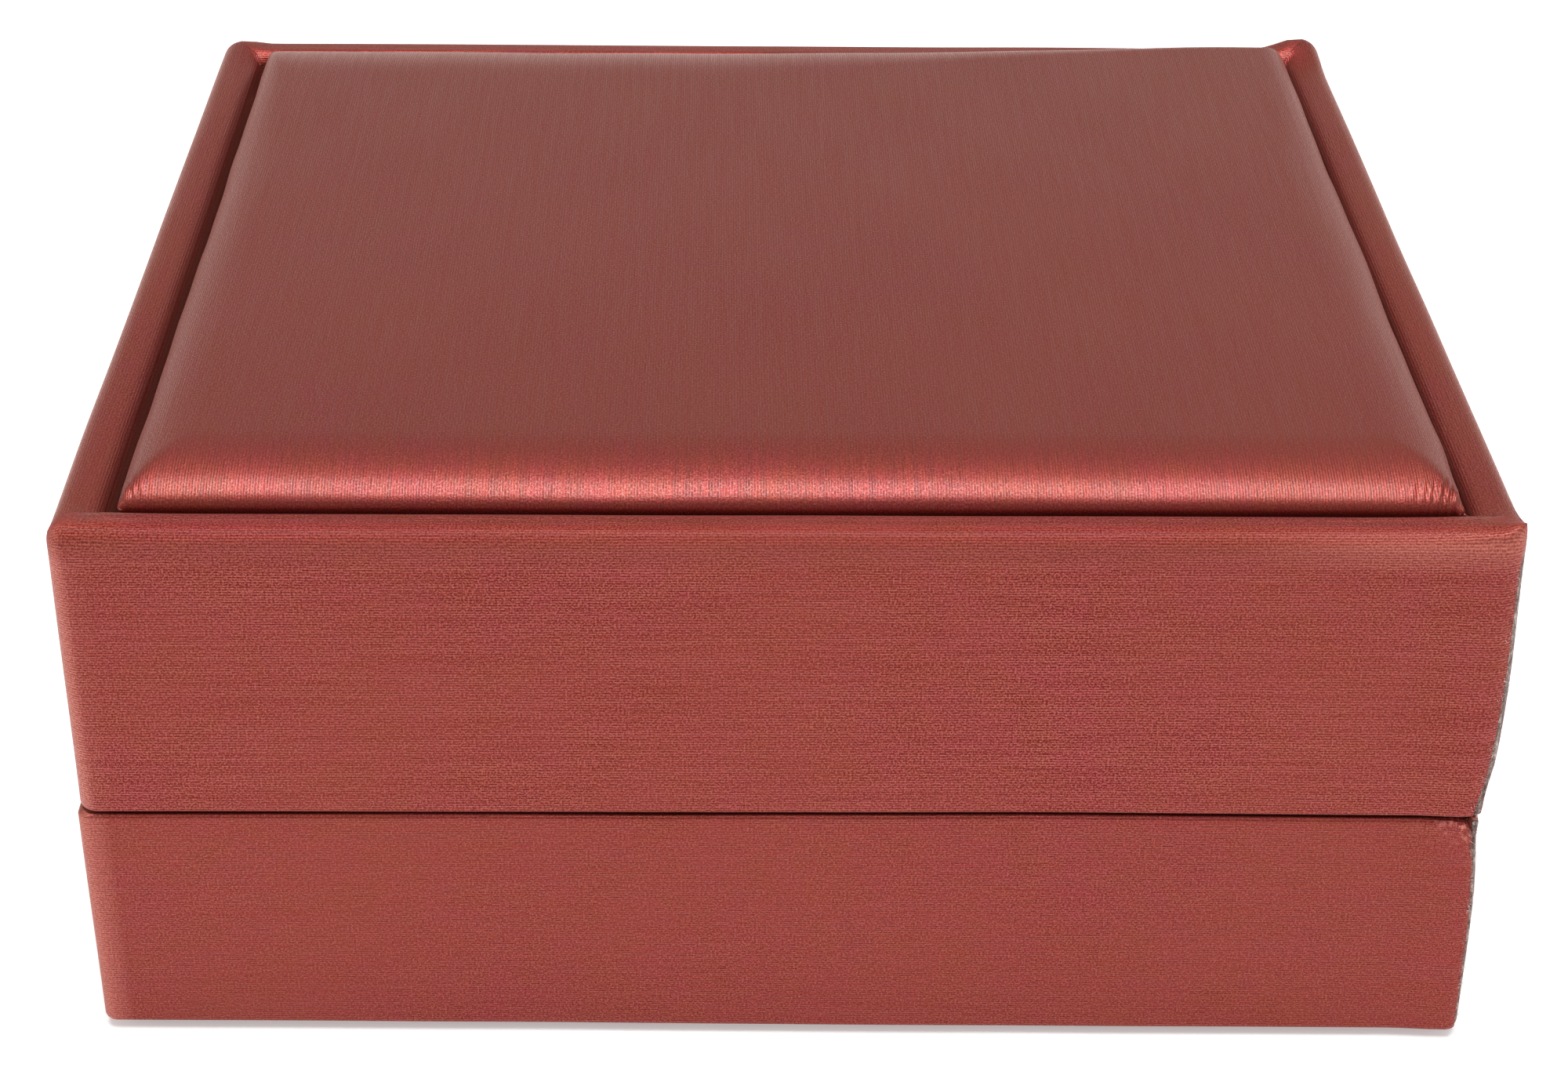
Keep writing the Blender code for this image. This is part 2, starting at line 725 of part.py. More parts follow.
def spring_path():
    """A bowed strip whose two ends hook through the leaves."""
    root_y = SPRING_ROOT_Y - AXIS_Y
    hook_y = LEAF_Y - AXIS_Y
    radius = (SPRING_REACH**2 + SPRING_BOW**2) / (2 * SPRING_BOW)
    half_angle = math.asin(SPRING_REACH / radius)
    centre_y = root_y - SPRING_BOW + radius
    bow = []
    for step in range(SPRING_STEPS + 1):
        angle = half_angle * (2 * step / SPRING_STEPS - 1)
        bow.append((centre_y - radius * math.cos(angle), radius * math.sin(angle)))
    return [(hook_y, -SPRING_REACH)] + bow + [(hook_y, SPRING_REACH)]


def knuckle_gaps(side_name, x, takes_odd):
    """Cutters that leave a leaf only its own knuckles."""
    width = (HINGE_WIDTH - (KNUCKLE_COUNT - 1) * KNUCKLE_GAP) / KNUCKLE_COUNT
    owner = "lid" if takes_odd else "base"
    cutters = []
    for index in range(KNUCKLE_COUNT):
        if index % 2 == takes_odd:
            continue
        start = x - HINGE_WIDTH / 2 + index * (width + KNUCKLE_GAP)
        reach = KNUCKLE_RADIUS + CLEARANCE
        cutters.append(
            box_cutter(
                f"{owner}_gap_{side_name}_{index}",
                (start - KNUCKLE_GAP, AXIS_Y - reach, AXIS_Z - reach),
                (start + width + KNUCKLE_GAP, AXIS_Y + reach, AXIS_Z + reach),
            )
        )
    return cutters


PIN_END = HINGE_WIDTH / 2 + CLEARANCE
PIN_PROFILE = [
    (0.0, PIN_END + PIN_HEAD_LENGTH),
    (PIN_HEAD_RADIUS, PIN_END + PIN_HEAD_LENGTH),
    (PIN_HEAD_RADIUS, PIN_END),
    (PIN_RADIUS, PIN_END),
    (PIN_RADIUS, -PIN_END),
    (PIN_HEAD_RADIUS, -PIN_END),
    (PIN_HEAD_RADIUS, -PIN_END - PIN_HEAD_LENGTH),
    (0.0, -PIN_END - PIN_HEAD_LENGTH),
]
TACK_PROFILE = [
    (0.0, TACK_HEAD_HEIGHT),
    (0.6 * TACK_HEAD_RADIUS, 0.9 * TACK_HEAD_HEIGHT),
    (TACK_HEAD_RADIUS, 0.4 * TACK_HEAD_HEIGHT),
    (TACK_HEAD_RADIUS, 0.0),
    (TACK_RADIUS, 0.0),
    (TACK_RADIUS, 2 * TACK_RADIUS - TACK_LENGTH),
    (0.0, -TACK_LENGTH),
]


def tack_hole(name, x, z):
    """A hole for one tack, from in front of the leaf to just past the tack's point."""
    radius = TACK_RADIUS + CLEARANCE
    depth = TACK_LENGTH + CLEARANCE
    profile = [(0.0, CLEARANCE / 2), (radius, CLEARANCE / 2), (radius, -depth), (0.0, -depth)]
    hole = turned(name, profile, (math.pi / 2, 0, 0), (x, TACK_HEAD_Y, z), CUTTERS)
    return as_cutter(hole)


def spring_window(name, x, side):
    """The window in a leaf that one end of the spring hooks through."""
    half_height = SPRING_THICKNESS / 2 + CLEARANCE
    middle_z = AXIS_Z + side * SPRING_REACH
    half_width = SPRING_WIDTH / 2 + CLEARANCE
    return box_cutter(
        name,
        (x - half_width, LEAF_Y - LEAF_THICKNESS, middle_z - half_height),
        (x + half_width, LEAF_Y + LEAF_THICKNESS, middle_z + half_height),
    )


# The two hinges, each with two leaves, a pin, a spring and four tacks
for side_name, hinge_x in (("left", -HINGE_X), ("right", HINGE_X)):
    pocket_reach = KNUCKLE_RADIUS + POCKET_CLEARANCE
    pocket = box_cutter(
        f"hinge_pocket_{side_name}",
        (hinge_x - POCKET_HALF_WIDTH, INSIDE_Y - CLEARANCE, AXIS_Z - pocket_reach),
        (hinge_x + POCKET_HALF_WIDTH, DEPTH / 2 + CLEARANCE, AXIS_Z + pocket_reach),
    )
    for piece in (base_wrap, lid_wrap, base_walls["back"], lid_walls["back"]):
        cut(piece, pocket)
    collar_notch = box_cutter(
        f"collar_notch_{side_name}",
        (
            hinge_x - POCKET_HALF_WIDTH,
            COLLAR_BACK_Y - CLEARANCE,
            AXIS_Z - LEAF_LENGTH - 2 * CLEARANCE,
        ),
        (hinge_x + POCKET_HALF_WIDTH, INSIDE_Y, COLLAR_TOP + CLEARANCE),
    )
    cut(collar["back"], collar_notch)

    owners = (
        ("base", -1, False, base_wrap, base_walls["back"], None),
        ("lid", 1, True, lid_wrap, lid_walls["back"], lid_pivot),
    )
    for owner, side, takes_odd, wrap, wall, pivot in owners:
        leaf = strip(
            f"hinge_{owner}_leaf_{side_name}", leaf_path(side), hinge_x, HINGE_WIDTH, LEAF_THICKNESS
        )
        cut(leaf, *knuckle_gaps(side_name, hinge_x, takes_odd))
        cut(leaf, spring_window(f"{owner}_window_{side_name}", hinge_x, side))
        finished(leaf, "plated steel", pivot)
        for place, offset in (("outer", math.copysign(1, hinge_x)), ("inner", -math.copysign(1, hinge_x))):
            tack_x = hinge_x + offset * TACK_SPACING / 2
            tack_z = AXIS_Z + side * TACK_REACH
            tack = turned(
                f"tack_{owner}_{side_name}_{place}",
                TACK_PROFILE,
                (math.pi / 2, 0, 0),
                (tack_x, TACK_HEAD_Y, tack_z),
            )
            finished(tack, "plated steel", pivot)
            hole = tack_hole(f"hole_{owner}_{side_name}_{place}", tack_x, tack_z)
            for piece in (leaf, wrap, wall):
                cut(piece, hole)

    pin = turned(
        f"hinge_pin_{side_name}", PIN_PROFILE, (0, math.pi / 2, 0), (hinge_x, AXIS_Y, AXIS_Z)
    )
    finished(pin, "plated steel")
    spring = strip(
        f"hinge_spring_{side_name}", spring_path(), hinge_x, SPRING_WIDTH, SPRING_THICKNESS
    )
    finished(spring, "spring steel")
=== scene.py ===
"""The looks of a necklace box: brushed red covering over board, a padded lid, and a soft inside.

Metres, +Z up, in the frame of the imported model. The box stands on z = 0 with its front to -Y and
its hinges along the back. Every surface is worked out at rest, with the lid closed.
"""

import json
import math

import bpy
import numpy as np
from mathutils import Matrix, Vector


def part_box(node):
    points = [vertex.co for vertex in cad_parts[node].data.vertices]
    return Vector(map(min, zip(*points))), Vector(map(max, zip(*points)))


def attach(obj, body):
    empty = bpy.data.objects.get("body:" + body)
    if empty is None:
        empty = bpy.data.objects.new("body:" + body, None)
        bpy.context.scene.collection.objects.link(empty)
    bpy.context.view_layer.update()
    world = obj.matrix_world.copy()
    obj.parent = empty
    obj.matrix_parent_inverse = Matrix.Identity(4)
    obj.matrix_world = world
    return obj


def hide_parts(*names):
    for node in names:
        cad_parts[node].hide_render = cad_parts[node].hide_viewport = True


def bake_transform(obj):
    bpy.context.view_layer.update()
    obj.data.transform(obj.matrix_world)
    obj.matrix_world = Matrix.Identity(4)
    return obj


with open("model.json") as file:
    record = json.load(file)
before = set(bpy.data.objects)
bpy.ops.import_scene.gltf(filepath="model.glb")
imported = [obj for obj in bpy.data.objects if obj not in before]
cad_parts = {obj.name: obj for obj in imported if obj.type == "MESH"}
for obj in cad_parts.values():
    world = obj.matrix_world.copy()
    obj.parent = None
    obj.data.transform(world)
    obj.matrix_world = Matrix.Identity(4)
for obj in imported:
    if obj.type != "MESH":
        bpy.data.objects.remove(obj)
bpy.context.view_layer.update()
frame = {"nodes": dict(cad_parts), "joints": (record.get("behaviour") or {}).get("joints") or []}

# The camera. The box is seen from just in front of its middle, about 30 degrees above the table,
# with a lens long enough that its sides hardly draw together.
MM = 0.001
PICTURE_WIDTH = 2000
FOCAL_LENGTH_IN_PIXELS = 4041
CAMERA_PITCH = math.radians(29.96)
CAMERA_YAW = math.radians(1.324)
CAMERA_ROLL = math.radians(-0.814)
CAMERA_PLACE = Vector((0.59, -228.8, 148.2)) * MM
SENSOR_WIDTH = 36

camera_data = bpy.data.cameras.new("camera")
camera_data.sensor_fit = "HORIZONTAL"
camera_data.sensor_width = SENSOR_WIDTH
camera_data.lens = SENSOR_WIDTH * FOCAL_LENGTH_IN_PIXELS / PICTURE_WIDTH
camera_data.clip_start = 10 * MM
camera = bpy.data.objects.new("camera", camera_data)
bpy.context.scene.collection.objects.link(camera)
camera.matrix_world = (
    Matrix.Rotation(-CAMERA_YAW, 4, "Z")
    @ Matrix.Translation(CAMERA_PLACE)
    @ Matrix.Rotation(math.pi / 2 - CAMERA_PITCH, 4, "X")
    @ Matrix.Rotation(-CAMERA_ROLL, 4, "Z")
)
bpy.context.scene.camera = camera

# The board carcass. Walls, floor, deck and stiffeners are raw greyboard cut from sheet, a recycled
# grey-brown board with short fibres in it. Almost all of it ends up under covering, cloth or foam.


class Wire:
    """An output of a material's node. Sums and products of wires and numbers add Math nodes."""

    def __init__(self, tree, socket=None):
        self.tree = tree
        self.socket = socket

    def node(self, kind, settings=None, inputs=None, output=0):
        """Adds a node: its settings first, then values or wires for its inputs."""
        made = self.tree.nodes.new(kind)
        for name, value in (settings or {}).items():
            if name == "stops":
                ramp = made.color_ramp
                for _ in range(len(value) - 2):
                    ramp.elements.new(0.5)
                for element, (position, color) in zip(ramp.elements, value):
                    element.position = position
                    element.color = (*color, 1.0)
            else:
                setattr(made, name, value)
        for name, value in (inputs or {}).items():
            if isinstance(value, Wire):
                self.tree.links.new(value.socket, made.inputs[name])
            else:
                made.inputs[name].default_value = value
        return Wire(self.tree, made.outputs[output] if made.outputs else None)

    def maths(self, operation, *values):
        """A Math node's result for values and wires."""
        return self.node("ShaderNodeMath", {"operation": operation}, dict(enumerate(values)))

    def __add__(self, other):
        return self.maths("ADD", self, other)

    __radd__ = __add__

    def __sub__(self, other):
        return self.maths("SUBTRACT", self, other)

    def __rsub__(self, other):
        return self.maths("SUBTRACT", other, self)

    def __mul__(self, other):
        return self.maths("MULTIPLY", self, other)

    __rmul__ = __mul__

    def sine(self):
        return self.maths("SINE", self)

    def unsigned(self):
        return self.maths("ABSOLUTE", self)

    def capped(self, limit):
        """This value, or the limit where it is over it."""
        return self.maths("MINIMUM", self, limit)

    def eased(self, low, high):
        """0 below low, 1 above high and a smooth step between."""
        limits = {"Value": self, "From Min": low, "From Max": high}
        return self.node("ShaderNodeMapRange", {"interpolation_type": "SMOOTHSTEP"}, limits)

    def blended(self, below, above):
        """A colour between two wires or colours, by this value."""
        settings = {"data_type": "RGBA"}
        below, above = (c if isinstance(c, Wire) else (*c, 1.0) for c in (below, above))
        return self.node("ShaderNodeMix", settings, {0: self, 6: below, 7: above}, 2)

    def stretched(self, scale):
        """This vector times a scale, part by part."""
        return self.node("ShaderNodeVectorMath", {"operation": "MULTIPLY"}, {0: self, 1: scale})

    def place(self, scale=(1.0, 1.0, 1.0)):
        """Object coordinates in millimetres, stretched by a scale."""
        found = self.node("ShaderNodeTexCoord", output=3)
        return found.stretched(tuple(part / MM for part in scale))

    def mark(self, name):
        """A number that a mesh keeps with each of its points."""
        return self.node("ShaderNodeAttribute", {"attribute_name": name}, output=2)

    def noise(self, vector, scale, detail=2.0, roughness=0.5):
        """Cloudy values about 0.5, with a scale of spots to a unit of the vector."""
        inputs = {"Vector": vector, "Scale": scale, "Detail": detail, "Roughness": roughness}
        return self.node("ShaderNodeTexNoise", None, inputs)

    def bump(self, height):
        """A normal from a height in millimetres."""
        return self.node("ShaderNodeBump", None, {"Height": height, "Distance": MM, "Strength": 1.0})


def new_finish(name, sockets_from):
    """A material whose Principled shader gets the sockets that a function works out on a wire."""
    material = bpy.data.materials.new(name)
    material.use_nodes = True
    material.node_tree.nodes.clear()
    wire = Wire(material.node_tree)
    shader = wire.node("ShaderNodeBsdfPrincipled", None, sockets_from(wire))
    wire.node("ShaderNodeOutputMaterial", None, {"Surface": shader})
    return material


def dress(material, *names):
    """Gives CAD nodes a finish."""
    for name in names:
        slots = frame["nodes"][name].data.materials
        slots.clear()
        slots.append(material)


def greyboard_sockets(wire):
    """Grey-brown pulp with pale and dark flecks about half a millimetre long."""
    flecks = wire.noise(wire.place((1.0, 2.6, 2.6)), 1.4, 4.0, 0.7)
    cloud = wire.noise(wire.place(), 0.12, 2.0)
    color = flecks.eased(0.34, 0.70).blended((0.20, 0.175, 0.145), (0.46, 0.42, 0.36))
    color = cloud.eased(0.3, 0.7).blended(color, (0.30, 0.265, 0.225))
    return {
        "Base Color": color,
        "Roughness": 0.92,
        "Specular IOR Level": 0.2,
        "Normal": wire.bump(flecks * 0.05),
    }


greyboard = new_finish("greyboard", greyboard_sockets)
walls = ("front_board", "back_board", "left_board", "right_board")
for body, boards in (
    ("base", ("floor_board", *walls)),
    ("lid", (*walls, "deck_board", "pad_board", "lining_board")),
    ("pad", ("platform",)),
):
    dress(greyboard, *(f"{body}_{board}" for board in boards))

# The base's covering. One long strip of brushed metallic red paper, embossed with fine ribs along
# its length, is glued round the four walls. It turns over the top edge to the inside and under the
# bottom, and its two ends lap at the front right corner, where the cut edge frays.
RIB_PITCH = 0.195
COVERING = 0.5 * MM
WALL = 3.5 * MM
INNER_RADIUS = 0.7 * MM
BASE_FOOT_RADIUS = 0.5 * MM
BASE_EDGE_RADIUS = 0.4 * MM
INNER_EDGE_RADIUS = 0.8 * MM
TURN_UNDER = 8.0 * MM
BASE_TURN_IN = 10.0 * MM
LAP_ANGLE = math.radians(-58)
BASE_LAP_ANGLE = math.radians(-57)
BARE_SPAN = math.radians(52)
LAP_BLUR = math.radians(1)
LAP_RISE = 0.20 * MM
LAP_RAMP = 6.0 * MM
CORNER_SQUARED = 0.75
HAND_UNEVEN = 0.05 * MM
SAG_AT_RIGHT = 0.24 * MM
COLUMN_SPACING = 1.6 * MM
TINY = 0.01 * MM
BASE_CORNERS = (1.0 * MM, 1.2 * MM)
BASE_LAP_STRAY = (4.0, -5.0)
BASE_LEAN = (0.13 * MM, 0.07 * MM)
BASE_DRAWN_IN = (0.62 * MM, 4.8 * MM)
BASE_SAG = 0.11 * MM
BASE_SUNK = 0.22 * MM
BASE_RIGHT_IN = 0.19 * MM
BASE_WEAR = 1.3 * MM
HINGE_X = 28.0 * MM
HINGE_WIDTH = 18.0 * MM
POCKET_HALF_WIDTH = 10.15 * MM
POCKET_REACH = 1.5 * MM
GROOVE_DEPTH = 1.5 * MM
GROOVE_ANGLE = math.radians(52)

base_low, base_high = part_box("base_wrap")
lid_low, lid_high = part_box("lid_wrap")
HALF_X, HALF_Y = base_high.x, base_high.y
hinge = next(joint for joint in frame["joints"] if joint["name"] == "lid_hinge")
AXIS = Vector(hinge["pos_m"])


def smooth(value, low, high):
    """0 below low, 1 above high and a smooth step between, as an array."""
    share = np.clip((value - low) / (high - low), 0.0, 1.0)
    return share * share * (3 - 2 * share)


def arc(inset, height, radius, start, stop, steps):
    """Rounded edge as rows of inset and height: a circle's arc, with 180 out, 90 up and 0 in."""
    angle = np.radians(np.linspace(start, stop, steps + 1))
    return np.stack([inset + radius * np.cos(angle), height + radius * np.sin(angle)], 1)


def run(start, stop, steps):
    """Straight rows between two insets and heights, without their ends."""
    share = np.linspace(0, 1, steps + 2)[1:-1, None]
    return np.array(start) * (1 - share) + np.array(stop) * share


def ring_columns(shares_x, shares_y, corner_angles):
    """Columns round a rounded rectangle, anticlockwise from its right side: where each stands as
    shares of the straight sides, and the angle that it faces. Corner angles are four arrays."""
    parts = []
    sides = (
        (1, 1, "x", -1, 90),
        (-1, 1, "y", -1, 180),
        (-1, -1, "x", 1, 270),
        (1, -1, "y", 1, 360),
    )
    for (sign_x, sign_y, along, way, faces), angles in zip(sides, corner_angles):
        corner = np.ones_like(angles)
        parts.append(np.stack([sign_x * corner, sign_y * corner, angles]))
        shares = (shares_x if along == "x" else shares_y)[::way]
        flat = np.ones_like(shares)
        facing = flat * math.radians(faces)
        if along == "x":
            parts.append(np.stack([shares, sign_y * flat, facing]))
        else:
            parts.append(np.stack([sign_x * flat, shares, facing]))
    return np.concatenate(parts, 1)


def upright(share, half, limit):
    """Stations of a straight side. They keep their place on every row, except for those within
    10 mm of a corner, which close up towards the row's own limit."""
    knee = half - 10 * MM
    station = np.abs(share) * half
    beyond = np.maximum(station - knee, 0.0) / (half - knee)
    return np.sign(share) * (np.minimum(station, knee) + beyond * (limit - knee))


def ring_points(half_x, half_y, profile, radii, columns):
    """Points of a profile carried round a rounded rectangle: each row is the rectangle drawn in by
    its inset, with its corners at their own radii, and each column stands at its own angle."""
    share_x, share_y, angle = columns
    inset, height = profile[:, :1], profile[:, 1:2]
    x = upright(share_x, half_x, half_x - inset - radii) + radii * np.cos(angle)
    y = upright(share_y, half_y, half_y - inset - radii) + radii * np.sin(angle)
    return np.stack([x, y, height + 0 * x], 2)


def quarter_angles(steps, extra):
    """Angles of the four rounded corners, with extra ones in the last."""
    quarters = [np.radians(np.linspace(90 * n, 90 * n + 90, steps + 1)) for n in range(4)]
    quarters[3] = np.unique(np.round(np.concatenate([quarters[3], 2 * math.pi + extra]), 6))
    return quarters


def between(low, high, spacing, marks=()):
    """Stations inside a span about a spacing apart, with some marks among them."""
    even = np.linspace(low, high, int(round((high - low) / spacing)) + 1)[1:-1]
    return np.unique(np.round(np.concatenate([even, np.array(marks)]), 9))


def grid_mesh(name, points, material, maps=None, marks=None, keep=None, around=True, flip=False):
    """A smooth mesh on a grid of points. Maps are UV maps with a value for each point, and one
    column more where the grid closes round. Marks are numbers kept with each point. Keep says
    which quads are made."""
    rows, cols = points.shape[:2]
    number = np.arange(rows * cols).reshape(rows, cols)
    ahead = np.roll(number, -1, 1) if around else number[:, 1:]
    here = number if around else number[:, :-1]
    quads = np.stack([here[:-1], ahead[:-1], ahead[1:], here[1:]], 2).reshape(-1, 4)
    row, col = np.divmod(np.arange(len(quads)), here.shape[1])
    if keep is not None:
        chosen = keep.reshape(-1)
        quads, row, col = quads[chosen], row[chosen], col[chosen]
    order = [0, 3, 2, 1] if flip else [0, 1, 2, 3]
    used, quads = np.unique(quads[:, order], return_inverse=True)
    quads = quads.reshape(-1, 4)
    mesh = bpy.data.meshes.new(name)
    mesh.vertices.add(len(used))
    mesh.vertices.foreach_set("co", points.reshape(-1, 3)[used].astype(np.float32).ravel())
    mesh.loops.add(quads.size)
    mesh.loops.foreach_set("vertex_index", quads.astype(np.int32).ravel())
    mesh.polygons.add(len(quads))
    mesh.polygons.foreach_set("loop_start", np.arange(0, quads.size, 4, dtype=np.int32))
    mesh.polygons.foreach_set("use_smooth", np.ones(len(quads), bool))
    corner_rows = np.stack([row, row, row + 1, row + 1], 1)[:, order]
    corner_cols = np.stack([col, col + 1, col + 1, col], 1)[:, order]
    for map_name, values in (maps or {}).items():
        layer = mesh.uv_layers.new(name=map_name)
        found = values[corner_rows, corner_cols].astype(np.float32)
        layer.data.foreach_set("uv", found.ravel())
    for mark_name, values in (marks or {}).items():
        attribute = mesh.attributes.new(mark_name, "FLOAT", "POINT")
        attribute.data.foreach_set("value", values.reshape(-1)[used].astype(np.float32))
    mesh.update(calc_edges=True)
    mesh.validate()
    mesh.materials.append(material)
    piece = bpy.data.objects.new(name, mesh)
    bpy.context.scene.collection.objects.link(piece)
    return piece


def thickened(piece, thickness, offset=-1.0):
    """A wall of real thickness behind a surface."""
    wall = piece.modifiers.new("thickness", "SOLIDIFY")
    wall.thickness = thickness
    wall.offset = offset
    return piece


def run_length(points):
    """Length along a line of points, from its first."""
    steps = np.linalg.norm(np.diff(points, axis=0), axis=1)
    return np.concatenate([[0.0], np.cumsum(steps)])


def uneven(x, y, z, size):
    """Hand-glued unevenness: sine waves 17 to 60 mm long that cross each other, added up."""
    turn = 2 * math.pi
    waves = (
        0.40 * np.sin(turn * (x / 0.060 + z / 0.071) + 0.7)
        + 0.30 * np.sin(turn * (y / 0.047 - x / 0.083) + 2.1)
        + 0.20 * np.sin(turn * (z / 0.019 + y / 0.031 + x / 0.029) + 4.0)
        + 0.15 * np.sin(turn * (x / 0.017 - y / 0.023) + 5.2)
    )
    return size * waves


COVERING_MARKS = ("lap", "bare", "crumpled", "pressed", "rubbed", "worn")


def covering_sockets(wire):
    """Brushed foil over ribbed paper. Across the ribs a sine makes their round backs; along them
    the brushing draws out streaks many times longer than they are wide, and fine grain lies over
    all. The ribs' backs are polished and the troughs between them are dull, and the colour has
    painted shade in the troughs and a painted highlight on the backs. Where the covering was
    pressed or stretched, its pattern is fainter. The front strip's ribs and the side strip's are
    told apart by the lap's mark, and along the lap's seam on the rim the colour is painted dark
    as the shade in the seam. The other marks: bare board and paper past the lap, crumpled and
    pressed covering, a rubbed rim, and a paler, less metallic colour that is a painted highlight
    on the front rim's round edge and the front left upright corner, and painted bounce light in
    the lid's recess."""
    front = wire.node("ShaderNodeUVMap", {"uv_map": "front_ribs"})
    side = wire.node("ShaderNodeUVMap", {"uv_map": "side_ribs"})
    lap, bare, crumpled, pressed, rubbed, worn = (wire.mark(name) for name in COVERING_MARKS)
    over = lap.eased(-0.03, 0.03)
    chosen = wire.node(
        "ShaderNodeMix", {"data_type": "VECTOR"}, {"Factor": over, 4: side, 5: front}, 1
    )
    place = chosen.stretched((1 / MM,) * 3)
    across = wire.node("ShaderNodeSeparateXYZ", None, {0: place}, "Y")

    def drawn_out(length, width, detail=2.0, roughness=0.55):
        """Noise in streaks of a length along the ribs and a width across them, in millimetres."""
        return wire.noise(place.stretched((1 / length, 1 / width, 1.0)), 1.0, detail, roughness)

    wander = drawn_out(5.0, 1.2) - 0.5
    rib = ((across + wander * 0.10) * (2 * math.pi / RIB_PITCH)).sine() * 0.5 + 0.5
    broad = drawn_out(14.0, 0.50)
    streak = drawn_out(2.2, 0.14, 3.0, 0.6)
    grain = wire.noise(place, 7.0, 1.0, 0.6)
    patch = wire.noise(place, 0.06, 2.0)
    tone = wire.noise(place, 0.24, 4.0, 0.7)
    speckle = wire.noise(place, 5.0, 2.0, 0.7)
    depth = broad.eased(0.30, 0.72) * 0.5 + 0.5
    # The rib sine also sets the colour: painted shade in the troughs and a painted highlight on the
    # backs.
    ribbed = (rib * depth - 0.38) * 0.62
    brushed = (streak - 0.5) * 0.62
    grained = (grain.eased(0.30, 0.70) - 0.5) * 0.92
    ribbed = ribbed * (1 - pressed * 0.9) * (1 - rubbed * 0.5)
    shade = ribbed + (brushed + grained) * (1 - pressed * 0.7) + 0.5
    shade = shade + (tone - 0.5) * 0.20 - 0.035
    foil = tone.eased(0.36, 0.64).blended((0.402, 0.083, 0.056), (0.396, 0.066, 0.066))
    # The dark end of this blend also carries the painted shade of the rib troughs.
    color = shade.blended((0.128, 0.001, 0.001), foil)
    color = (patch.eased(0.30, 0.72) * 0.36).blended(color, (0.262, 0.043, 0.023))
    color = (speckle.eased(0.56, 0.72) * 0.20).blended(color, (0.46, 0.17, 0.09))
    # Painted highlight on the front rim's round edge and front left corner, and painted bounce light
    # in the lid's recess: the colour goes paler there, more on the rib backs.
    bright = worn * (rib * 0.16 + grain.eased(0.40, 0.62) * 0.16 + 0.13)
    color = bright.blended(color, (0.63, 0.20, 0.155))
    crumple = wire.noise(place, 1.9, 3.0, 0.65)
    fleck = crumpled * crumple.eased(0.50, 0.62)
    color = (fleck * 0.8).blended(color, (0.80, 0.30, 0.24))
    # Painted shade along the lap's seam on the rim's top: the colour goes near black red where the lap
    # mark is near 0.
    seam_painted_shade = 1 - lap.unsigned().eased(0.0, 0.10)
    color = (seam_painted_shade * 0.75).blended(color, (0.060, 0.014, 0.011))
    fuzz = wire.noise(wire.place((1.0, 1.0, 0.6)), 2.4, 4.0, 0.75)
    stops = (
        (0.40, (0.022, 0.011, 0.009)),
        (0.46, (0.150, 0.080, 0.066)),
        (0.55, (0.270, 0.170, 0.150)),
        (0.63, (0.62, 0.53, 0.50)),
    )
    paper = wire.node("ShaderNodeValToRGB", {"stops": stops}, {"Fac": fuzz})
    cut = bare * (fuzz * 0.5 + 0.75).capped(1.0)
    color = cut.blended(color, paper)
    height = rib * depth * (pressed * 0.008 + 0.018) + streak * 0.016 + grain * 0.032
    height = height + fuzz * cut * 0.25
    height = height + crumple * crumpled * 0.20
    polished = rib * depth * (1 - pressed * 0.6)
    glossed = polished * 0.3 + grain.eased(0.50, 0.70) * 0.5
    swollen = pressed.eased(0.70, 1.0)
    color = (swollen * 0.08).blended(color, (0.08, 0.0, 0.0))
    glossed = glossed + swollen * (rib * depth * 0.26 + grain.eased(0.45, 0.65) * 0.20 + 0.01)
    return {
        "Base Color": color,
        "Metallic": 0.86 - cut * 0.80 - worn * 0.12,
        "Roughness": 0.56 - pressed * 0.08 - polished * 0.20 + rubbed * 0.30 + cut * 0.2,
        "Specular Tint": (1.0, 0.78, 0.66, 1.0),
        "Coat Weight": glossed * (1 - cut) * (1 - rubbed) + 0.08,
        "Coat Roughness": 0.28,
        "Sheen Weight": 0.14,
        "Sheen Roughness": 0.35,
        "Sheen Tint": (1.0, 0.80, 0.74, 1.0),
        "Normal": wire.bump(height),
    }


def recess_sockets(wire):
    """The same covering down in the lid's recess, without the sheen that reads as a grey haze on its
    shaded walls.
    """
    return {**covering_sockets(wire), "Sheen Weight": 0.0}


brushed_covering = new_finish("brushed_covering", covering_sockets)
recess_covering = new_finish("recess_covering", recess_sockets)


def hump(value, middle, width):
    """A bell curve: 1 at the middle, and 0.37 at a width to either side of it."""
    return np.exp(-(((value - middle) / width) ** 2))


def groove_inset(height, base_top, lid_bottom):
    """How deep the V groove along the back is at a height."""
    rise = np.maximum(base_top - height, height - lid_bottom)
    return np.maximum(0.0, GROOVE_DEPTH - rise / math.tan(GROOVE_ANGLE))


def seam_inset(from_side):
    """The front seam at a rim's corner, as its distance from the front at a distance from the
    side: it leaves the inner corner along the front strip, then curves to the outer corner."""
    share = np.clip(from_side / WALL, 0.0, 1.0)
    return WALL * (0.31 + 0.55 * (1 - (1 - share) ** 4)) + np.maximum(from_side - WALL, 0.0)


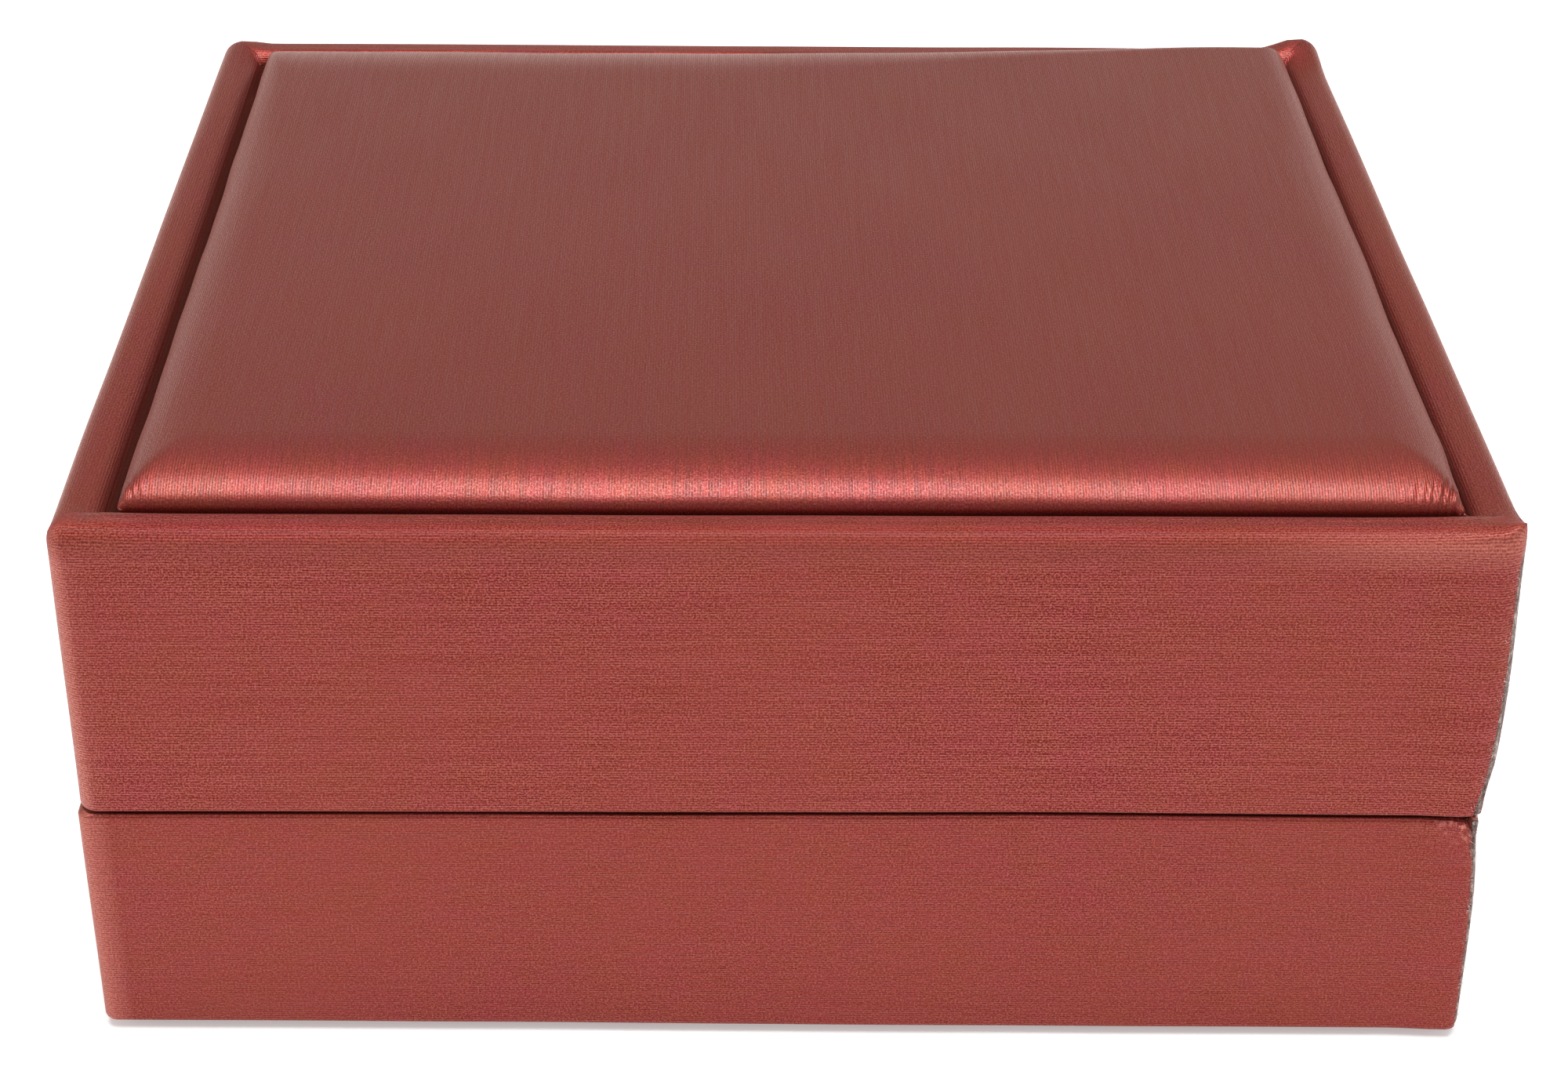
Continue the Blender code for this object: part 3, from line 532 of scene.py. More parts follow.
class Strip:
    """One glued strip of covering on a grid: the rows of its profile carried round the walls in
    columns, with its ends lapped at the front right corner. Corners are the radius of most
    upright edges and that of the lapped one. The lap strays from its angle by two amounts, at
    the foot and at the top. On_top says how far each row belongs to the top edge, and level is
    the height at which lid and base part. Every form is worked out from the places x, y and z
    that the points have before any move, so the forms add up in any order."""

    def __init__(self, profile, on_top, level, corners, lap_angle, stray):
        pockets = [s * HINGE_X + e * POCKET_HALF_WIDTH for s in (-1, 1) for e in (-1, 1)]
        near_corner = HALF_X - np.arange(2, 7) * MM
        shares_x = between(-HALF_X, HALF_X, COLUMN_SPACING, [*pockets, *near_corner]) / HALF_X
        shares_y = between(-HALF_Y, HALF_Y, COLUMN_SPACING) / HALF_Y
        near_lap = np.radians([-8, -5, -3, -2, -1, 0, 1, 2, 4, 7, 11, 16, 22])
        columns = ring_columns(shares_x, shares_y, quarter_angles(18, lap_angle + near_lap))
        to_x, to_y, facing = columns
        self.columns, self.profile, self.level = columns, profile, level
        self.inset, height = profile[:, :1], profile[:, 1:]
        lapped = (1 + to_x) * (1 - to_y) / 4
        self.corner_radii = corners[0] + (corners[1] - corners[0]) * lapped
        self.radii = np.maximum(self.corner_radii - self.inset, INNER_RADIUS)
        self.seam_turn = facing - 2 * math.pi - lap_angle
        self.at_corner = (to_x == 1) & (to_y == -1)
        self.before_seam = (to_y == -1) & (~self.at_corner | (self.seam_turn <= 0))
        near_seam = hump(self.seam_turn, 0.0, math.radians(20)) * self.at_corner
        ragged = uneven(0 * height, height / 3, height / 4, math.radians(2.5))
        ragged += np.interp(height, (0.0, height.max()), np.radians(stray))
        self.angles = facing + near_seam * ragged
        placed = (to_x, to_y, self.angles)
        self.points = ring_points(HALF_X, HALF_Y, profile, self.radii, placed)
        self.x, self.y, self.z = x, y, z = np.moveaxis(self.points.copy(), 2, 0)
        self.from_side, self.from_end = HALF_X - np.abs(x), HALF_Y - np.abs(y)
        self.on_top = on_top[:, None] + 0 * x
        mitre = np.where(y < 0, seam_inset(self.from_side), self.from_side) - self.from_end
        on_wall = np.where((np.abs(to_y) == 1) | self.at_corner, 1.0 * MM, -1.0 * MM)
        self.lap = np.where(self.on_top > 0, mitre, on_wall)
        self.outer = 1 - smooth(self.inset, 1.5 * MM, WALL)
        self.up = (z - height.min()) / (height.max() - height.min())
        self.ahead = np.clip((HALF_Y - y) / (2 * HALF_Y), 0.0, 1.0)
        self.to_right = smooth(x, HALF_X - 4.0 * MM, HALF_X - 0.3 * MM)
        self.to_left = smooth(-x, HALF_X - 4.0 * MM, HALF_X - 0.3 * MM)
        self.to_front = smooth(-y, HALF_Y - 5.0 * MM, HALF_Y - 0.5 * MM)

    def push(self, distance):
        """Moves the points by a distance, square out of the walls."""
        outward = np.stack([np.cos(self.angles), np.sin(self.angles), 0 * self.angles], 2)
        self.points += outward * distance[..., None]

    def lay(self, lapped_radius, lean, drawn_in, sag):
        """The forms that both strips have from being glued by hand. The front strip's end rises
        over the side's. The lapped corner is squared off near the parting level, and drawn in
        there by a depth that fades over a reach. The left side leans out by one amount that
        grows downwards and another that doesn't, and the parting edge sags towards the front."""
        x, y, z = self.x, self.y, self.z
        ramp = smooth(x, HALF_X - LAP_RAMP, HALF_X - lapped_radius) * self.before_seam
        to_square = 1 / np.maximum(np.abs(np.cos(self.angles)), np.abs(np.sin(self.angles))) - 1
        squared = self.at_corner * hump(z, self.level, 2.2 * MM) * CORNER_SQUARED
        rise = LAP_RISE * ramp * (1 - self.on_top) + uneven(x, y, z, HAND_UNEVEN)
        self.push(rise + self.radii * to_square * squared)
        depth, reach = drawn_in
        shift = self.to_left * self.ahead * ((1 - self.up) * lean[0] + lean[1])
        shift -= depth * hump(z, self.level, reach) * self.to_right * self.to_front
        self.points[..., 0] += shift * self.outer
        sagging = sag + SAG_AT_RIGHT * smooth(x, 15 * MM, 48 * MM)
        near_parting = 1 - smooth(np.abs(z - self.level), 0.0, 12 * MM)
        self.points[..., 2] -= sagging * near_parting * smooth(-y, 10 * MM, HALF_Y - 2 * MM)
        self.points[..., 2] += self.on_top * uneven(y, x, z, HAND_UNEVEN)

    def ribs(self):
        """Maps of the ribs. Each gives the length round the walls and the length across the
        strip, which on the rim is measured from the front edge or from the side edge."""
        run_across = run_length(self.profile)[:, None]
        flat = np.zeros((1, 2))
        outline = ring_points(HALF_X, HALF_Y, flat, self.corner_radii[None, :], self.columns)[0]
        around = run_length(np.concatenate([outline, outline[:1]]))[None, :] + 0 * run_across
        across = []
        for from_edge in (self.from_end, self.from_side):
            lengths = run_across + (from_edge - self.inset) * self.on_top
            across.append(np.concatenate([lengths, lengths[:, :1]], 1))
        return {
            "front_ribs": np.stack([around, across[0]], 2),
            "side_ribs": np.stack([around + 0.5, across[1] + 0.3 * RIB_PITCH * MM], 2),
        }

    def bare(self):
        """Where board and paper show: from the lap on round the corner, below the lid's rim."""
        cut = smooth(self.seam_turn, -LAP_BLUR, LAP_BLUR) * self.at_corner
        cut = cut * (1 - smooth(self.seam_turn, 0.75 * BARE_SPAN, BARE_SPAN)) * (1 - self.on_top)
        return cut * (1 - smooth(self.z, lid_high.z - 3.2 * MM, lid_high.z - 1.6 * MM))

    def painted_highlight_left(self):
        """Where the colour is painted paler along the front left upright corner, as a painted
        highlight.
        """
        front_edge = smooth(-self.y, HALF_Y - 1.5 * MM, HALF_Y - 0.5 * MM)
        return 1.5 * hump(self.x, 0.6 * MM - HALF_X, 0.7 * MM) * front_edge

    def covering(self, name, pocket_side, marks):
        """The strip's mesh, with the V groove cut along the back and the hinge pockets left open
        above the axis or below it. Marks that aren't named are 0."""
        groove = groove_inset(self.points[..., 2], base_high.z, lid_low.z)
        limit = HALF_Y - groove - 0.2 * self.inset * (groove > 0)
        self.points[..., 1] = np.minimum(self.points[..., 1], limit)
        middle = (self.x + np.roll(self.x, -1, 1))[:-1] / 2
        to_y = self.columns[1]
        back = (to_y == 1) & (np.roll(to_y, -1) == 1)
        low_z, high_z = np.minimum(self.z[:-1], self.z[1:]), np.maximum(self.z[:-1], self.z[1:])
        reach = AXIS.z + pocket_side * POCKET_REACH
        beyond = low_z > reach - TINY if pocket_side < 0 else high_z < reach + TINY
        in_pocket = np.abs(np.abs(middle) - HINGE_X) < POCKET_HALF_WIDTH
        self.keep = ~(back[None, :] & in_pocket & beyond)
        marks = {"lap": self.lap / MM, "bare": self.bare(), **marks}
        marks = {mark: marks.get(mark, 0.0) + 0 * self.x for mark in COVERING_MARKS}
        piece = grid_mesh(name, self.points, brushed_covering, self.ribs(), marks, self.keep)
        return thickened(piece, COVERING)

    def edge_of_lap(self):
        """The points on the outer wall beside the lap."""
        rows = self.inset[:, 0] < TINY
        beside = self.at_corner & (np.abs(self.seam_turn) < math.radians(14))
        return self.points[np.ix_(rows, beside)]


def base_forms(strip):
    """What only the base has. The covering is sunk just past its cut, the right side stands in a
    little, the front stands back towards its foot, and the lapped top corner is worn down to a
    quarter circle."""
    x, y, z = strip.x, strip.y, strip.z
    past_cut = hump(strip.seam_turn, math.radians(7), math.radians(5)) * strip.at_corner
    strip.push(-BASE_SUNK * past_cut * (1 - strip.on_top))
    strip.points[..., 0] -= BASE_RIGHT_IN * strip.to_right * strip.ahead * strip.outer
    set_back = (0.20 - 0.55 * x / HALF_X) * MM * (1 - strip.up) * smooth(-y, 0.0, HALF_Y)
    strip.points[..., 1] += set_back * strip.outer
    strip_end = HALF_X - BASE_CORNERS[1] * (1 - math.cos(LAP_ANGLE))
    share = np.clip((x - strip_end) / BASE_WEAR + 1, 0.0, 1.0) * strip.before_seam
    near_top = smooth(z, strip.level - 4.0 * MM, strip.level) * strip.outer
    strip.points[..., 2] -= BASE_WEAR * (1 - np.sqrt(1 - share**2)) * near_top


def fitted(piece, body, node):
    """Lets a piece ride on its body, or on none, in place of its CAD node."""
    if body:
        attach(piece, body)
    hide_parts(node)
    return piece


groove_rise = GROOVE_DEPTH * math.tan(GROOVE_ANGLE)
base_pocket_edge = AXIS.z - POCKET_REACH
foot, edge, inner = BASE_FOOT_RADIUS, BASE_EDGE_RADIUS, INNER_EDGE_RADIUS
base_rows = [
    np.array([[TURN_UNDER, base_low.z]]),
    run((TURN_UNDER, base_low.z), (foot, base_low.z), 3),
    arc(foot, base_low.z + foot, foot, 270, 180, 7),
    run((0.0, base_low.z + foot), (0.0, base_high.z - groove_rise), 9),
    np.array([[0.0, base_high.z - groove_rise], [0.0, base_pocket_edge]]),
    arc(edge, base_high.z - edge, edge, 180, 90, 7),
    run((edge, base_high.z), (WALL - inner, base_high.z), 4),
    arc(WALL - inner, base_high.z - inner, inner, 90, 0, 7),
    np.array([[WALL, base_pocket_edge]]),
    run((WALL, base_pocket_edge), (WALL, base_high.z - BASE_TURN_IN), 3),
    np.array([[WALL, base_high.z - BASE_TURN_IN]]),
]
inside_rows = sum(len(rows) for rows in base_rows[-3:])
base_profile = np.concatenate(base_rows)
base_on_top = smooth(base_profile[:, 1], base_high.z - edge, base_high.z)
base_on_top[-inside_rows:] = 0.0
base_strip = Strip(
    base_profile, base_on_top, base_high.z, BASE_CORNERS, BASE_LAP_ANGLE, BASE_LAP_STRAY
)
base_strip.lay(BASE_CORNERS[1], BASE_LEAN, BASE_DRAWN_IN, BASE_SAG)
base_forms(base_strip)
torn = hump(base_strip.x, HALF_X, 3.5 * MM) * hump(base_strip.z, base_strip.level, 1.4 * MM)
base_marks = {
    "crumpled": torn * (base_strip.columns[1] == -1),
    "pressed": 0.60,
    # Painted highlight along the front left upright corner.
    "worn": base_strip.painted_highlight_left(),
}
base_covering = base_strip.covering("base_covering", -1, base_marks)
fitted(base_covering, "base", "base_wrap")

# The lid's covering. The same strip round the lid's walls: over the rim and down into the recess
# at the top, round the parting edge to the inside at the bottom. At the rim's front corners the
# front strip is folded over the side ones and stands a little proud.
RIM_OUTER_RADIUS = 1.3 * MM
RIM_INNER_RADIUS = 1.1 * MM
LID_EDGE_RADIUS = 0.3 * MM
LID_TURN_IN = 13.6 * MM
LID_ON_DECK = 3.0 * MM
LID_CORNERS = (1.5 * MM, 2.0 * MM)
LID_LAP_STRAY = (-14.52, 7.48)
LID_LEAN = (0.24 * MM, 0.0)
LID_DRAWN_IN = (0.72 * MM, 2.3 * MM)
LID_SAG = 0.23 * MM
LID_BULGE = 0.31 * MM
FOLD_RISE = 0.13 * MM
FOLD_NUB_RIGHT, FOLD_NUB_LEFT = 0.52 * MM, 0.12 * MM
BACK_BULK_RIGHT, BACK_BULK_LEFT = 1.05 * MM, 0.28 * MM
BESIDE_BULK_DIP = 0.30 * MM
CRISPNESS = 0.85


def lid_forms(strip):
    """What only the lid has. Its front bulges low at the right. At the rim's front corners the
    folded strip stands up beyond its seam, with a small nub at the outer corner, and the back
    corners are bulky where the covering is bunched up, with a dip beside the bulk. The front
    right corner is folded sharp: its round edge is pushed out towards a square one."""
    x, y, z, on_top = strip.x, strip.y, strip.z, strip.on_top
    from_side, from_end = strip.from_side, strip.from_end
    bulge = LID_BULGE * hump(z, 30 * MM, 7.5 * MM) * strip.to_right * strip.to_front
    strip.points[..., 0] += bulge * strip.outer
    beyond_seam = smooth(strip.lap, 0.0, 0.12 * MM)
    raised = FOLD_RISE * beyond_seam * np.exp(-np.maximum(from_side - WALL, 0) / (3 * MM))
    nub = np.where(x > 0, FOLD_NUB_RIGHT, FOLD_NUB_LEFT)
    nub = nub * hump(from_side, 0.6 * MM, 1.0 * MM) * hump(from_end, 0.8 * MM, 0.9 * MM)
    bulk = np.where(x > 0, BACK_BULK_RIGHT, BACK_BULK_LEFT) * (y > 0)
    bulk = bulk * hump(from_side, 2.1 * MM, np.where(x > 0, 2.4 * MM, 1.3 * MM))
    bulk = bulk * hump(from_end, 1.0 * MM, 3.2 * MM)
    beside = smooth(from_end - from_side, -1.0 * MM, 1.0 * MM) * smooth(from_side, 1.5 * MM, WALL)
    lift = smooth(-y, 0.0, 1.0 * MM) * (raised + nub) + bulk - BESIDE_BULK_DIP * beside
    strip.points[..., 2] += on_top * lift
    from_centre = strip.profile - np.array([RIM_OUTER_RADIUS, rim_outer_centre])
    in_arc = (from_centre[:, :1] <= 0) & (from_centre[:, 1:] >= 0)
    furthest = np.maximum(np.abs(from_centre).max(1), 0.1 * MM)[:, None]
    crisp = from_centre * (RIM_OUTER_RADIUS / furthest - 1) * in_arc * CRISPNESS
    sharp = hump(from_side, 0.0, 3.2 * MM) * hump(from_end, 0.0, 3.2 * MM) * (x > 0) * (y < 0)
    strip.push(-sharp * crisp[:, :1])
    strip.points[..., 2] += sharp * crisp[:, 1:]


def lid_marks(strip, in_recess):
    """What handling and folding did to the lid's covering, and where its colour is painted paler. It
    is pressed on the rim's side strips and rubbed dull along the outside of the front rim. Its
    colour is paler as a painted highlight low on that rim's round edge and on the front left
    upright corner, and as painted bounce light inside the recess."""
    x, y, z = strip.x, strip.y, strip.z
    crest = lid_high.z
    on_front = smooth(strip.from_side - strip.from_end, -0.3 * MM, 0.3 * MM) * (y < 0)
    to_edge = np.minimum(strip.from_side, strip.from_end)
    rubbed = smooth(z, crest - 2.2 * MM, crest - 0.7 * MM) * (1 - smooth(to_edge, 0.8 * MM, 1.8 * MM))
    rubbed = rubbed * smooth(-y, HALF_Y - 4.0 * MM, HALF_Y - 2.0 * MM)
    at_right = smooth(x, 28 * MM, 44 * MM)
    front_edge = smooth(-y, HALF_Y - 1.5 * MM, HALF_Y - 0.5 * MM)
    # Painted highlight low on the front rim's round edge, stronger towards the right.
    worn = hump(z, crest - 0.90 * MM, 0.60 * MM) * front_edge * (0.7 + 1.2 * at_right)
    worn = np.maximum(worn, strip.painted_highlight_left())
    # Painted bounce light on the recess's inner wall and deck: paler, browner colour in the shaded
    # groove.
    worn = np.maximum(worn, 1.7 * in_recess * smooth(crest - z, 0.6 * MM, 1.6 * MM))
    return {
        "pressed": 0.10 + 0.50 * strip.on_top * (1 - on_front),
        "rubbed": rubbed * (1 - 0.2 * at_right),
        "worn": worn,
    }


deck_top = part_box("lid_deck_board")[1].z
lid_pocket_edge = AXIS.z + POCKET_REACH
rim_outer_centre = lid_high.z - RIM_OUTER_RADIUS
rim_inner_centre = lid_high.z - RIM_INNER_RADIUS
lid_rows = [
    np.array([[WALL, lid_low.z + LID_TURN_IN]]),
    run((WALL, lid_low.z + LID_TURN_IN), (WALL, lid_pocket_edge), 4),
    np.array([[WALL, lid_pocket_edge]]),
    arc(WALL - inner, lid_low.z + inner, inner, 0, -90, 7),
    run((WALL - inner, lid_low.z), (LID_EDGE_RADIUS, lid_low.z), 4),
    arc(LID_EDGE_RADIUS, lid_low.z + LID_EDGE_RADIUS, LID_EDGE_RADIUS, 270, 180, 6),
    np.array([[0.0, lid_pocket_edge], [0.0, lid_low.z + groove_rise]]),
    run((0.0, lid_low.z + groove_rise), (0.0, rim_outer_centre), 11),
    arc(RIM_OUTER_RADIUS, rim_outer_centre, RIM_OUTER_RADIUS, 180, 90, 10),
    run((RIM_OUTER_RADIUS, lid_high.z), (WALL - RIM_INNER_RADIUS, lid_high.z), 2),
    arc(WALL - RIM_INNER_RADIUS, rim_inner_centre, RIM_INNER_RADIUS, 90, 0, 12),
    run((WALL, rim_inner_centre), (WALL, deck_top + 0.3 * MM), 4),
    np.array([[WALL, deck_top + 0.3 * MM], [WALL + 0.2 * MM, deck_top + 0.1 * MM]]),
    np.array([[WALL + LID_ON_DECK, deck_top + 0.1 * MM]]),
]
lid_profile = np.concatenate(lid_rows)
lid_on_top = smooth(lid_profile[:, 1], rim_outer_centre, lid_high.z - 0.5 * RIM_OUTER_RADIUS)
lid_strip = Strip(lid_profile, lid_on_top, lid_low.z, LID_CORNERS, LAP_ANGLE, LID_LAP_STRAY)
lid_strip.lay(LID_CORNERS[1], LID_LEAN, LID_DRAWN_IN, LID_SAG)
lid_forms(lid_strip)
in_recess = smooth(lid_strip.inset, WALL - 0.3 * MM, WALL) * (lid_profile[:, 1:] > deck_top)
lid_covering = lid_strip.covering("lid_covering", 1, lid_marks(lid_strip, in_recess))
recess = lid_strip.keep & (in_recess[:-1] > 0.5)
lid_covering.data.materials.append(recess_covering)
lid_covering.data.polygons.foreach_set("material_index", recess[lid_strip.keep].astype(np.int32))
fitted(lid_covering, "lid", "lid_wrap")

# Frayed ends of the covering. Where the strips were cut at the front right corner, whitish paper
# fibres stand out of the lap's edge, thickest at the base's top corner.
FIBRE_RADIUS = 0.018 * MM
FIBRE_STEPS = 7


def fibre_mesh(name, roots, ways, lengths, curls, material):
    """Thin three-sided tubes: each leaves its root along its way and curls off it in a quarter
    turn of a wave, tapering to its tip."""
    share = np.linspace(0, 1, FIBRE_STEPS)[None, :, None]
    side = np.cross(ways, np.array([0.0, 0.0, 1.0]))
    side /= np.linalg.norm(side, axis=1, keepdims=True)
    up = np.cross(side, ways)
    bend = curls[:, 0, None, None] * np.sin(share * curls[:, 2, None, None]) * side[:, None]
    bend = bend + curls[:, 1, None, None] * (1 - np.cos(share * curls[:, 2, None, None])) * up[:, None]
    line = roots[:, None] + lengths[:, None, None] * (share * ways[:, None] + bend)
    turn = np.radians([90, 210, 330])[None, None, :, None]
    radius = FIBRE_RADIUS * (1.15 - share[..., None])
    tube = line[:, :, None] + radius * (
        np.cos(turn) * side[:, None, None] + np.sin(turn) * up[:, None, None]
    )
    count = len(roots)
    number = np.arange(count * FIBRE_STEPS * 3).reshape(count, FIBRE_STEPS, 3)
    ahead = np.roll(number, -1, 2)
    quads = np.stack([number[:, :-1], ahead[:, :-1], ahead[:, 1:], number[:, 1:]], 3).reshape(-1, 4)
    ends = np.concatenate([number[:, 0, ::-1], number[:, -1]])
    mesh = bpy.data.meshes.new(name)
    mesh.from_pydata(tube.reshape(-1, 3).tolist(), [], quads.tolist() + ends.tolist())
    mesh.materials.append(material)
    mesh.update()
    piece = bpy.data.objects.new(name, mesh)
    bpy.context.scene.collection.objects.link(piece)
    return piece


def fibre_sockets(wire):
    """Off-white paper fibre, a little stained by the red foil here and there."""
    stain = wire.noise(wire.place(), 0.9, 2.0)
    return {
        "Base Color": stain.eased(0.42, 0.58).blended((0.60, 0.52, 0.49), (0.26, 0.15, 0.135)),
        "Roughness": 0.75,
    }


paper_fibre = new_finish("paper_fibre", fibre_sockets)


def frayed_edge(name, body, strip, span, hairs, count, crowd, seed):
    """Short fibres that root on a strip's covering near its lap, in a span of heights, and a few
    long loose hairs. Crowd above 1 gathers the fibres towards the top. Each hair is a root, a
    way, a length, two curls and their turn."""
    draw = np.random.default_rng(seed)
    seam = strip.edge_of_lap()
    height = span[0] + (span[1] - span[0]) * draw.random(count) ** (1 / crowd)
    clump = np.sin(height / (0.9 * MM)) + np.sin(height / (0.37 * MM) + 1.0)
    height = height[clump > draw.normal(-0.2, 0.7, count)]
    count = len(height)
    lines = seam[np.argsort(seam[:, 0, 2])]
    column = draw.integers(0, seam.shape[1], count)
    roots = np.zeros((count, 3))
    for number in range(seam.shape[1]):
        here = column == number
        for axis in range(3):
            line = lines[:, number]
            roots[here, axis] = np.interp(height[here], line[:, 2], line[:, axis])
    facing = LAP_ANGLE + draw.normal(0.75, 0.55, count)
    ways = np.stack([np.cos(facing), np.sin(facing), draw.normal(0.0, 0.9, count)], 1)
    ways /= np.linalg.norm(ways, axis=1, keepdims=True)
    lengths = draw.uniform(0.10, 0.34, count) * MM
    curls = np.stack(
        [draw.normal(0, 0.35, count), draw.normal(0, 0.35, count), draw.uniform(2, 6, count)], 1
    )
    long = np.array(hairs)
    roots = np.concatenate([roots, long[:, :3] * MM])
    ways = np.concatenate([ways, long[:, 3:6] / np.linalg.norm(long[:, 3:6], axis=1)[:, None]])
    lengths = np.concatenate([lengths, long[:, 6] * MM])
    curls = np.concatenate([curls, long[:, 7:]])
    piece = fibre_mesh(name, roots, ways, lengths, curls, paper_fibre)
    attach(piece, body)


lid_hairs = [(48.75, -45.5, 19.7, 0.25, -0.1, 1.0, 1.5, 0.10, 0.02, 3.2)]
base_hairs = [
    (48.3, -45.5, 17.9, 0.9, -0.15, -0.5, 1.2, 0.20, 0.02, 2.4),
    (49.0, -45.5, 17.0, 0.1, -0.1, -1.0, 1.3, -0.15, 0.02, 2.6),
]
lid_span = (lid_low.z, lid_high.z - 2.6 * MM)
base_span = (base_low.z, base_high.z)
frayed_edge("lid_frayed_edge", "lid", lid_strip, lid_span, lid_hairs, 560, 0.9, seed=11)
frayed_edge("base_frayed_edge", "base", base_strip, base_span, base_hairs, 800, 1.5, seed=12)

# The lid's padded panel. Covering with its ribs from front to back is pulled over foam and board
# and tucked under. It swells over the rim, rolls in again below its widest line, and gathers
# into puckers where the corners are folded, most of all at the front right.
PANEL_SHOULDERS = (4.5 * MM, 7.0 * MM)
PANEL_CORNER = 0.3 * MM
PANEL_EDGE_DROP = 0.40 * MM
PANEL_OFF_CENTRE = 0.2 * MM
PANEL_SHORT = 0.25 * MM
PANEL_TUCK = 6.0 * MM
PUCKER_PITCH = 0.60 * MM
PANEL_DENTS = ((-33 * MM, 0.20 * MM, 3.0 * MM), (-3 * MM, 0.14 * MM, 4.0 * MM))

panel_low, panel_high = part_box("lid_pad_cover")


def crowded(half, shoulder, steps, spacing):
    """Stations across a cushion: crowded towards both edges, where they stand as the cosine of
    even angles, and about a spacing apart between."""
    near = half - shoulder * (1 - np.cos(np.linspace(0, math.pi / 2, steps + 1)))
    return np.concatenate([-near, between(-near[-1], near[-1], spacing), near[::-1]])


def swell(from_edge, shoulder):
    """Share of the full height at a distance from the edge: a quarter of an ellipse."""
    short = 1 - np.clip(from_edge / shoulder, 0.0, 1.0)
    return np.sqrt(1 - short**2)


class Cushion:
    """A cushion's skin on a crossed grid of stations. Its top swells by an ellipse from each
    edge, over the side shoulders and the end ones, and the two directions are joined by a soft
    minimum. The shoulders are two widths, or a function that gives them at each place. Its walls
    are rows of inset and height below the edge. Corners are rounded by the map from a square to
    a disc."""

    def __init__(self, low, high, corner, shoulders, edge, top, across, along, walls):
        half_x, half_y = (high.x - low.x) / 2, (high.y - low.y) / 2
        count = len(walls)
        steps = np.arange(1, count + 1)
        wall_x = np.concatenate([steps[::-1], np.zeros(len(across), int), steps])
        wall_y = np.concatenate([steps[::-1], np.zeros(len(along), int), steps])
        x, y = np.meshgrid(
            np.pad(across, count, constant_values=(-half_x, half_x)),
            np.pad(along, count, constant_values=(-half_y, half_y)),
        )
        wall = np.maximum(wall_x[None, :], wall_y[:, None])
        inset = np.concatenate([[0.0], walls[:, 0]])[wall]
        beyond_x = np.maximum(np.abs(x) - half_x + corner, 0) / corner
        beyond_y = np.maximum(np.abs(y) - half_y + corner, 0) / corner
        round_x = corner * beyond_x * np.sqrt(1 - beyond_y**2 / 2)
        round_y = corner * beyond_y * np.sqrt(1 - beyond_x**2 / 2)
        flat_x = np.minimum(np.abs(x), half_x - corner)
        flat_y = np.minimum(np.abs(y), half_y - corner)
        scale_x, scale_y = 1 - inset / half_x, 1 - inset / half_y
        self.x = np.sign(x) * (flat_x + round_x) * scale_x
        self.y = np.sign(y) * (flat_y + round_y) * scale_y + (low.y + high.y) / 2
        self.from_side, self.from_end = half_x - np.abs(x), half_y - np.abs(y)
        side_width, end_width = shoulders(x, y) if callable(shoulders) else shoulders
        short_x = 1 - swell(self.from_side, side_width)
        short_y = 1 - swell(self.from_end, end_width)
        height = 1 - np.minimum((short_x**4 + short_y**4) ** 0.25, 1.0)
        wall_heights = np.concatenate([[edge], walls[:, 1]])[wall]
        self.on_top = wall == 0
        self.z = np.where(self.on_top, edge + (top - edge) * height, wall_heights)
        pair_x = np.maximum(wall_x[1:], wall_x[:-1])
        pair_y = np.maximum(wall_y[1:], wall_y[:-1])
        self.keep = ~((pair_x > 0)[None, :] & (pair_y > 0)[:, None])

    def points(self):
        return np.stack([self.x, self.y, self.z], 2)

    def arcs(self):
        """Lengths over the skin across it and along it, through its middle."""
        row, column = self.x.shape[0] // 2, self.x.shape[1] // 2
        across = run_length(self.points()[row])[None, :] + 0 * self.x
        along = run_length(self.points()[:, column])[:, None] + 0 * self.x
        return np.stack([along, across], 2)


def sewn_shut(piece):
    """Welds the seams where a skin's walls meet, and the poles of a turned piece."""
    weld = piece.modifiers.new("weld", "WELD")
    weld.merge_threshold = 0.002 * MM
    return piece


panel_edge = lid_high.z - PANEL_EDGE_DROP
panel_rolls_in = ((0.00, 0.15), (0.02, 0.30), (0.07, 0.48), (0.18, 0.70), (0.35, 0.95), (0.50, 1.30))
panel_turns_under = ((0.50, 0.50), (0.65, 0.15), (1.00, 0.0), (PANEL_TUCK / MM, 0.0))
panel_walls = [(inset * MM, panel_edge - drop * MM) for inset, drop in panel_rolls_in]
panel_walls += [(inset * MM, panel_low.z + rise * MM) for inset, rise in panel_turns_under]
panel_half_x, panel_half_y = panel_high.x, panel_high.y


def panel_shoulders(x, y):
    """Wide at the front, where the foam was pulled down hardest, and tight at the back right."""
    side = PANEL_SHOULDERS[0] - 2.0 * MM * smooth(y, 12 * MM, 38 * MM)
    back = PANEL_SHOULDERS[1] + 1.5 * MM - 6.4 * MM * smooth(x, -8 * MM, 42 * MM)
    return side, np.where(y > 0, back, PANEL_SHOULDERS[1])


panel = Cushion(
    panel_low,
    panel_high,
    PANEL_CORNER,
    panel_shoulders,
    panel_edge,
    panel_high.z,
    crowded(panel_half_x, PANEL_SHOULDERS[0], 44, 1.2 * MM),
    crowded(panel_half_y, PANEL_SHOULDERS[1], 40, 1.2 * MM),
    np.array(panel_walls),
)


def puckers(skin, right, front, strength, reach):
    """Folds at one corner that run back over the front shoulder: sine waves across, bunched up
    by a slower wave, and fading away from the corner."""
    side = skin.from_side + np.where(skin.x * right > 0, 0.0, 1.0)
    end = skin.from_end + np.where(skin.y * front > 0, 0.0, 1.0)
    turn = 2 * math.pi * (side + 0.25 * end) / PUCKER_PITCH
    waves = np.sin(turn + 0.9 * np.sin(turn / 2.3)) + 0.35 * np.sin(turn * 1.9 + 1.0)
    return strength * waves * hump(side, 0.0, reach) * hump(end, 0.7 * MM, 1.3 * MM)


